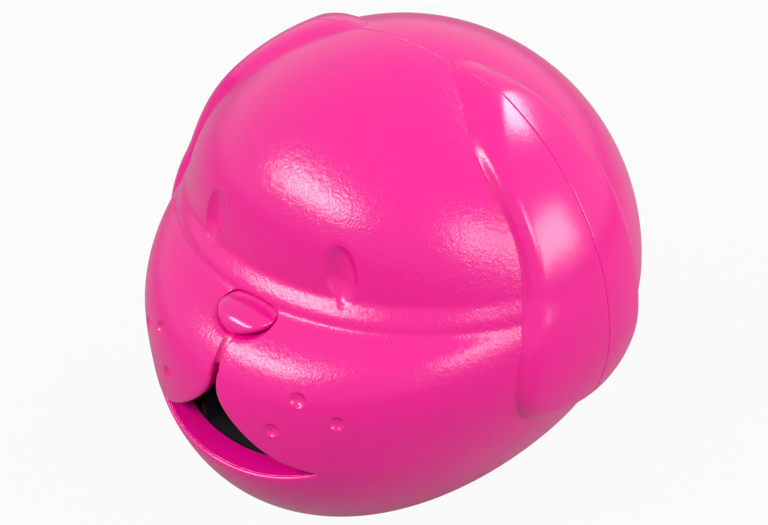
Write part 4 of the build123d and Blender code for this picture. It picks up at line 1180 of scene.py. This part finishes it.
class FinishFeedWorks(bpy.types.Operator):
    """Hopper, flap, nose guide and the pins they turn on"""

    bl_idname = "dispenser.feed_works"
    bl_label = "Feed Works"

    def execute(self, context):
        f = finishes()
        # The same near black, partly painted shade, on the inner mouldings.
        finish_nodes(inner_plastic("black_hopper", f.black_and_shade, 0.42, 1800), "hopper")
        finish_nodes(inner_plastic("black_bracket", f.black_and_shade, 0.36, 1200), "nose_guide", "base_plate")
        finish_nodes(inner_plastic("white_acetal", f.acetal, 0.24, 900), "dispensing_flap")
        finish_nodes(
            plated_steel("bright_pins", f.zinc, 0.2), "flap_pin", "clevis_pin", "door_hinge_pin"
        )
        finish_nodes(plated_steel("clip_wire", f.spring, 0.16), "pin_clip")
        return {"FINISHED"}


class BuildReturnSpring(bpy.types.Operator):
    """Coil spring behind the nose, kept at its packed length in a mesh of its own"""

    bl_idname = "dispenser.return_spring"
    bl_label = "Return Spring"

    def execute(self, context):
        coil = piece("nose_return_spring", packed_form("nose_spring"))
        dress(coil, plated_steel("spring_wire", finishes().spring, 0.16))
        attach(coil, "housing")
        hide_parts("nose_spring")
        front, seat = (limit(vert.co.y for vert in coil.data.vertices) for limit in (min, max))
        free = seat - front
        pressed = free - NOSE_TRAVEL * MM - SPRING_ROOM * MM
        pressed / free
        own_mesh(coil)
        return {"FINISHED"}


class FinishFasteners(bpy.types.Operator):
    """Screws of the shells, the chute, the hopper, the guide and the base"""

    bl_idname = "dispenser.fasteners"
    bl_label = "Fasteners"

    def execute(self, context):
        finish_nodes(
            plated_steel("zinc_screws", finishes().zinc, 0.26),
            "guide_screws", "chute_screws", "hopper_screws", "shell_screws", "base_screws",
            "ballast_screw",
        )
        return {"FINISHED"}


class FinishBase(bpy.types.Operator):
    """Ballast weight, non-slip pad and the door's seal"""

    bl_idname = "dispenser.base"
    bl_label = "Base and Seal"

    def execute(self, context):
        f = finishes()
        finish_nodes(cast_iron("cast_iron", f.iron), "ballast_weight")
        finish_nodes(soft_rubber("grip_rubber", f.rubber, dots=True), "nonslip_pad")
        finish_nodes(soft_rubber("seal_rubber", f.rubber, dots=False), "door_seal")
        return {"FINISHED"}


LAMP_DISTANCE = 0.9  # from the head's middle
LAMPS = (
    # name, azimuth and elevation in degrees, width, height, watts
    ("front_strip", -21, 39, 0.72, 0.15, 6.4),
    ("cheek_panel", 75, 27, 0.20, 0.22, 1.7),
    ("side_panel", 106, 17, 0.56, 0.26, 3.6),
    ("rear_panel", 160, 47, 0.32, 0.16, 3.0),
)
SKY_LIGHT = 0.40
FLOOR_WHITE = 0.94  # how white the floor shows to the camera and through glass
FLOOR_MIRRORED = 0.1  # and in a glossy surface


class BuildStudio(bpy.types.Operator):
    """Pale floor, soft lamps, plain world and the camera"""

    bl_idname = "dispenser.studio"
    bl_label = "Studio"

    def seen(self, finish):
        """How white the floor is for rays from the camera, glass or a mirror."""
        through = finish.rays("Camera").most(finish.rays("Transmission"))
        return (through * FLOOR_WHITE).most(finish.rays("Glossy") * FLOOR_MIRRORED)

    def lay_floor(self):
        bm = bmesh.new()
        bmesh.ops.create_grid(bm, x_segments=8, y_segments=8, size=6)
        floor = piece("studio_floor", bm)
        made = Finish("studio_floor", Roughness=0.9, Specular_IOR_Level=0.0)
        made.tint(made.noise(3, 2), finishes().floor, 0.99, 1.01)
        lit, glow = Wire(made, made.shader.outputs[0]), made.node("ShaderNodeEmission")
        both = made.node("ShaderNodeMixShader", {}, {0: self.seen(made), 1: lit, 2: glow})
        made.feed(made.surface, both)
        floor.data.materials.append(made.material)

    def hang_lamps(self, context):
        target = Vector((0, 0, sizes().head_middle))
        for name, azimuth, elevation, width, height, watts in LAMPS:
            a, e = radians(azimuth), radians(elevation)
            away = Vector((sin(a) * cos(e), -cos(a) * cos(e), sin(e)))
            data = bpy.data.lights.new(name, "AREA")
            data.shape, data.size, data.size_y, data.energy = "RECTANGLE", width, height, watts
            lamp = bpy.data.objects.new(name, data)
            lamp.location = target + away * LAMP_DISTANCE
            lamp.rotation_euler = away.to_track_quat("Z", "Y").to_euler()
            context.scene.collection.objects.link(lamp)

    def light_sky(self, context):
        """Soft light from all round, which camera, glass and gloss see as plain white."""
        world = bpy.data.worlds.new("studio_world")
        world.use_nodes = True
        context.scene.world = world
        graph = Graph(world.node_tree)
        sky, output = (graph.tree.nodes[name] for name in ("Background", "World Output"))
        white = (1, 1, 1, 1)
        graph.feed(sky.inputs["Color"], white)
        graph.feed(sky.inputs["Strength"], SKY_LIGHT)
        plain = graph.rays("Camera").most(graph.rays("Glossy")).most(graph.rays("Transmission"))
        backdrop = graph.node("ShaderNodeBackground", {}, {"Color": white})
        lights = {0: plain, 1: Wire(graph, sky.outputs[0]), 2: backdrop}
        graph.feed(output.inputs["Surface"], graph.node("ShaderNodeMixShader", {}, lights))

    def set_camera(self, context):
        """A long lens that looks down at the face from the head's own left."""
        data = bpy.data.cameras.new("studio_camera")
        data.lens, data.sensor_width = 92.01, 36
        camera = bpy.data.objects.new("studio_camera", data)
        right = Vector((0.76587, 0.64300, 0))
        up = Vector((-0.36090, 0.42986, 0.82763))
        back = Vector((0.53217, -0.63385, 0.56128))
        turn = Matrix((right, up, back)).transposed()
        place = Matrix.Translation((0.252975, -0.308799, 0.323816))
        camera.matrix_world = place @ turn.to_4x4()
        context.scene.collection.objects.link(camera)
        context.scene.camera = camera

    def execute(self, context):
        self.lay_floor()
        self.hang_lamps(context)
        self.light_sky(context)
        self.set_camera(context)
        context.scene.view_settings.view_transform = "Standard"
        return {"FINISHED"}


class DispenserPanel(bpy.types.Panel):
    """Sizes, finishes and build steps of the treat dispenser"""

    bl_idname = "VIEW3D_PT_dispenser"
    bl_label = "Treat Dispenser"
    bl_space_type = "VIEW_3D"
    bl_region_type = "UI"
    bl_category = "Dispenser"

    def draw(self, context):
        for step in STEPS:
            self.layout.operator(step.bl_idname)
        for group in (sizes(), finishes()):
            box = self.layout.box()
            for name in group.__annotations__:
                box.prop(group, name)


STEPS = (
    BuildFrontShell,
    BuildRearShell,
    BuildFillDoor,
    BuildNoseButton,
    BuildReturnSpring,
    BuildFeedChute,
    FinishFeedWorks,
    FinishFasteners,
    FinishBase,
    BuildStudio,
)
CLASSES = (DispenserSizes, DispenserFinishes, *STEPS, DispenserPanel)


def register():
    for item in CLASSES:
        bpy.utils.register_class(item)
    bpy.types.Scene.dispenser_sizes = PointerProperty(type=DispenserSizes)
    bpy.types.Scene.dispenser_finishes = PointerProperty(type=DispenserFinishes)


def unregister():
    del bpy.types.Scene.dispenser_sizes
    del bpy.types.Scene.dispenser_finishes
    for item in reversed(CLASSES):
        bpy.utils.unregister_class(item)


def main():
    register()
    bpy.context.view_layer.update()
    for step in STEPS:
        group, name = step.bl_idname.split(".")
        getattr(getattr(bpy.ops, group), name)()


if __name__ == "__main__":
    main()
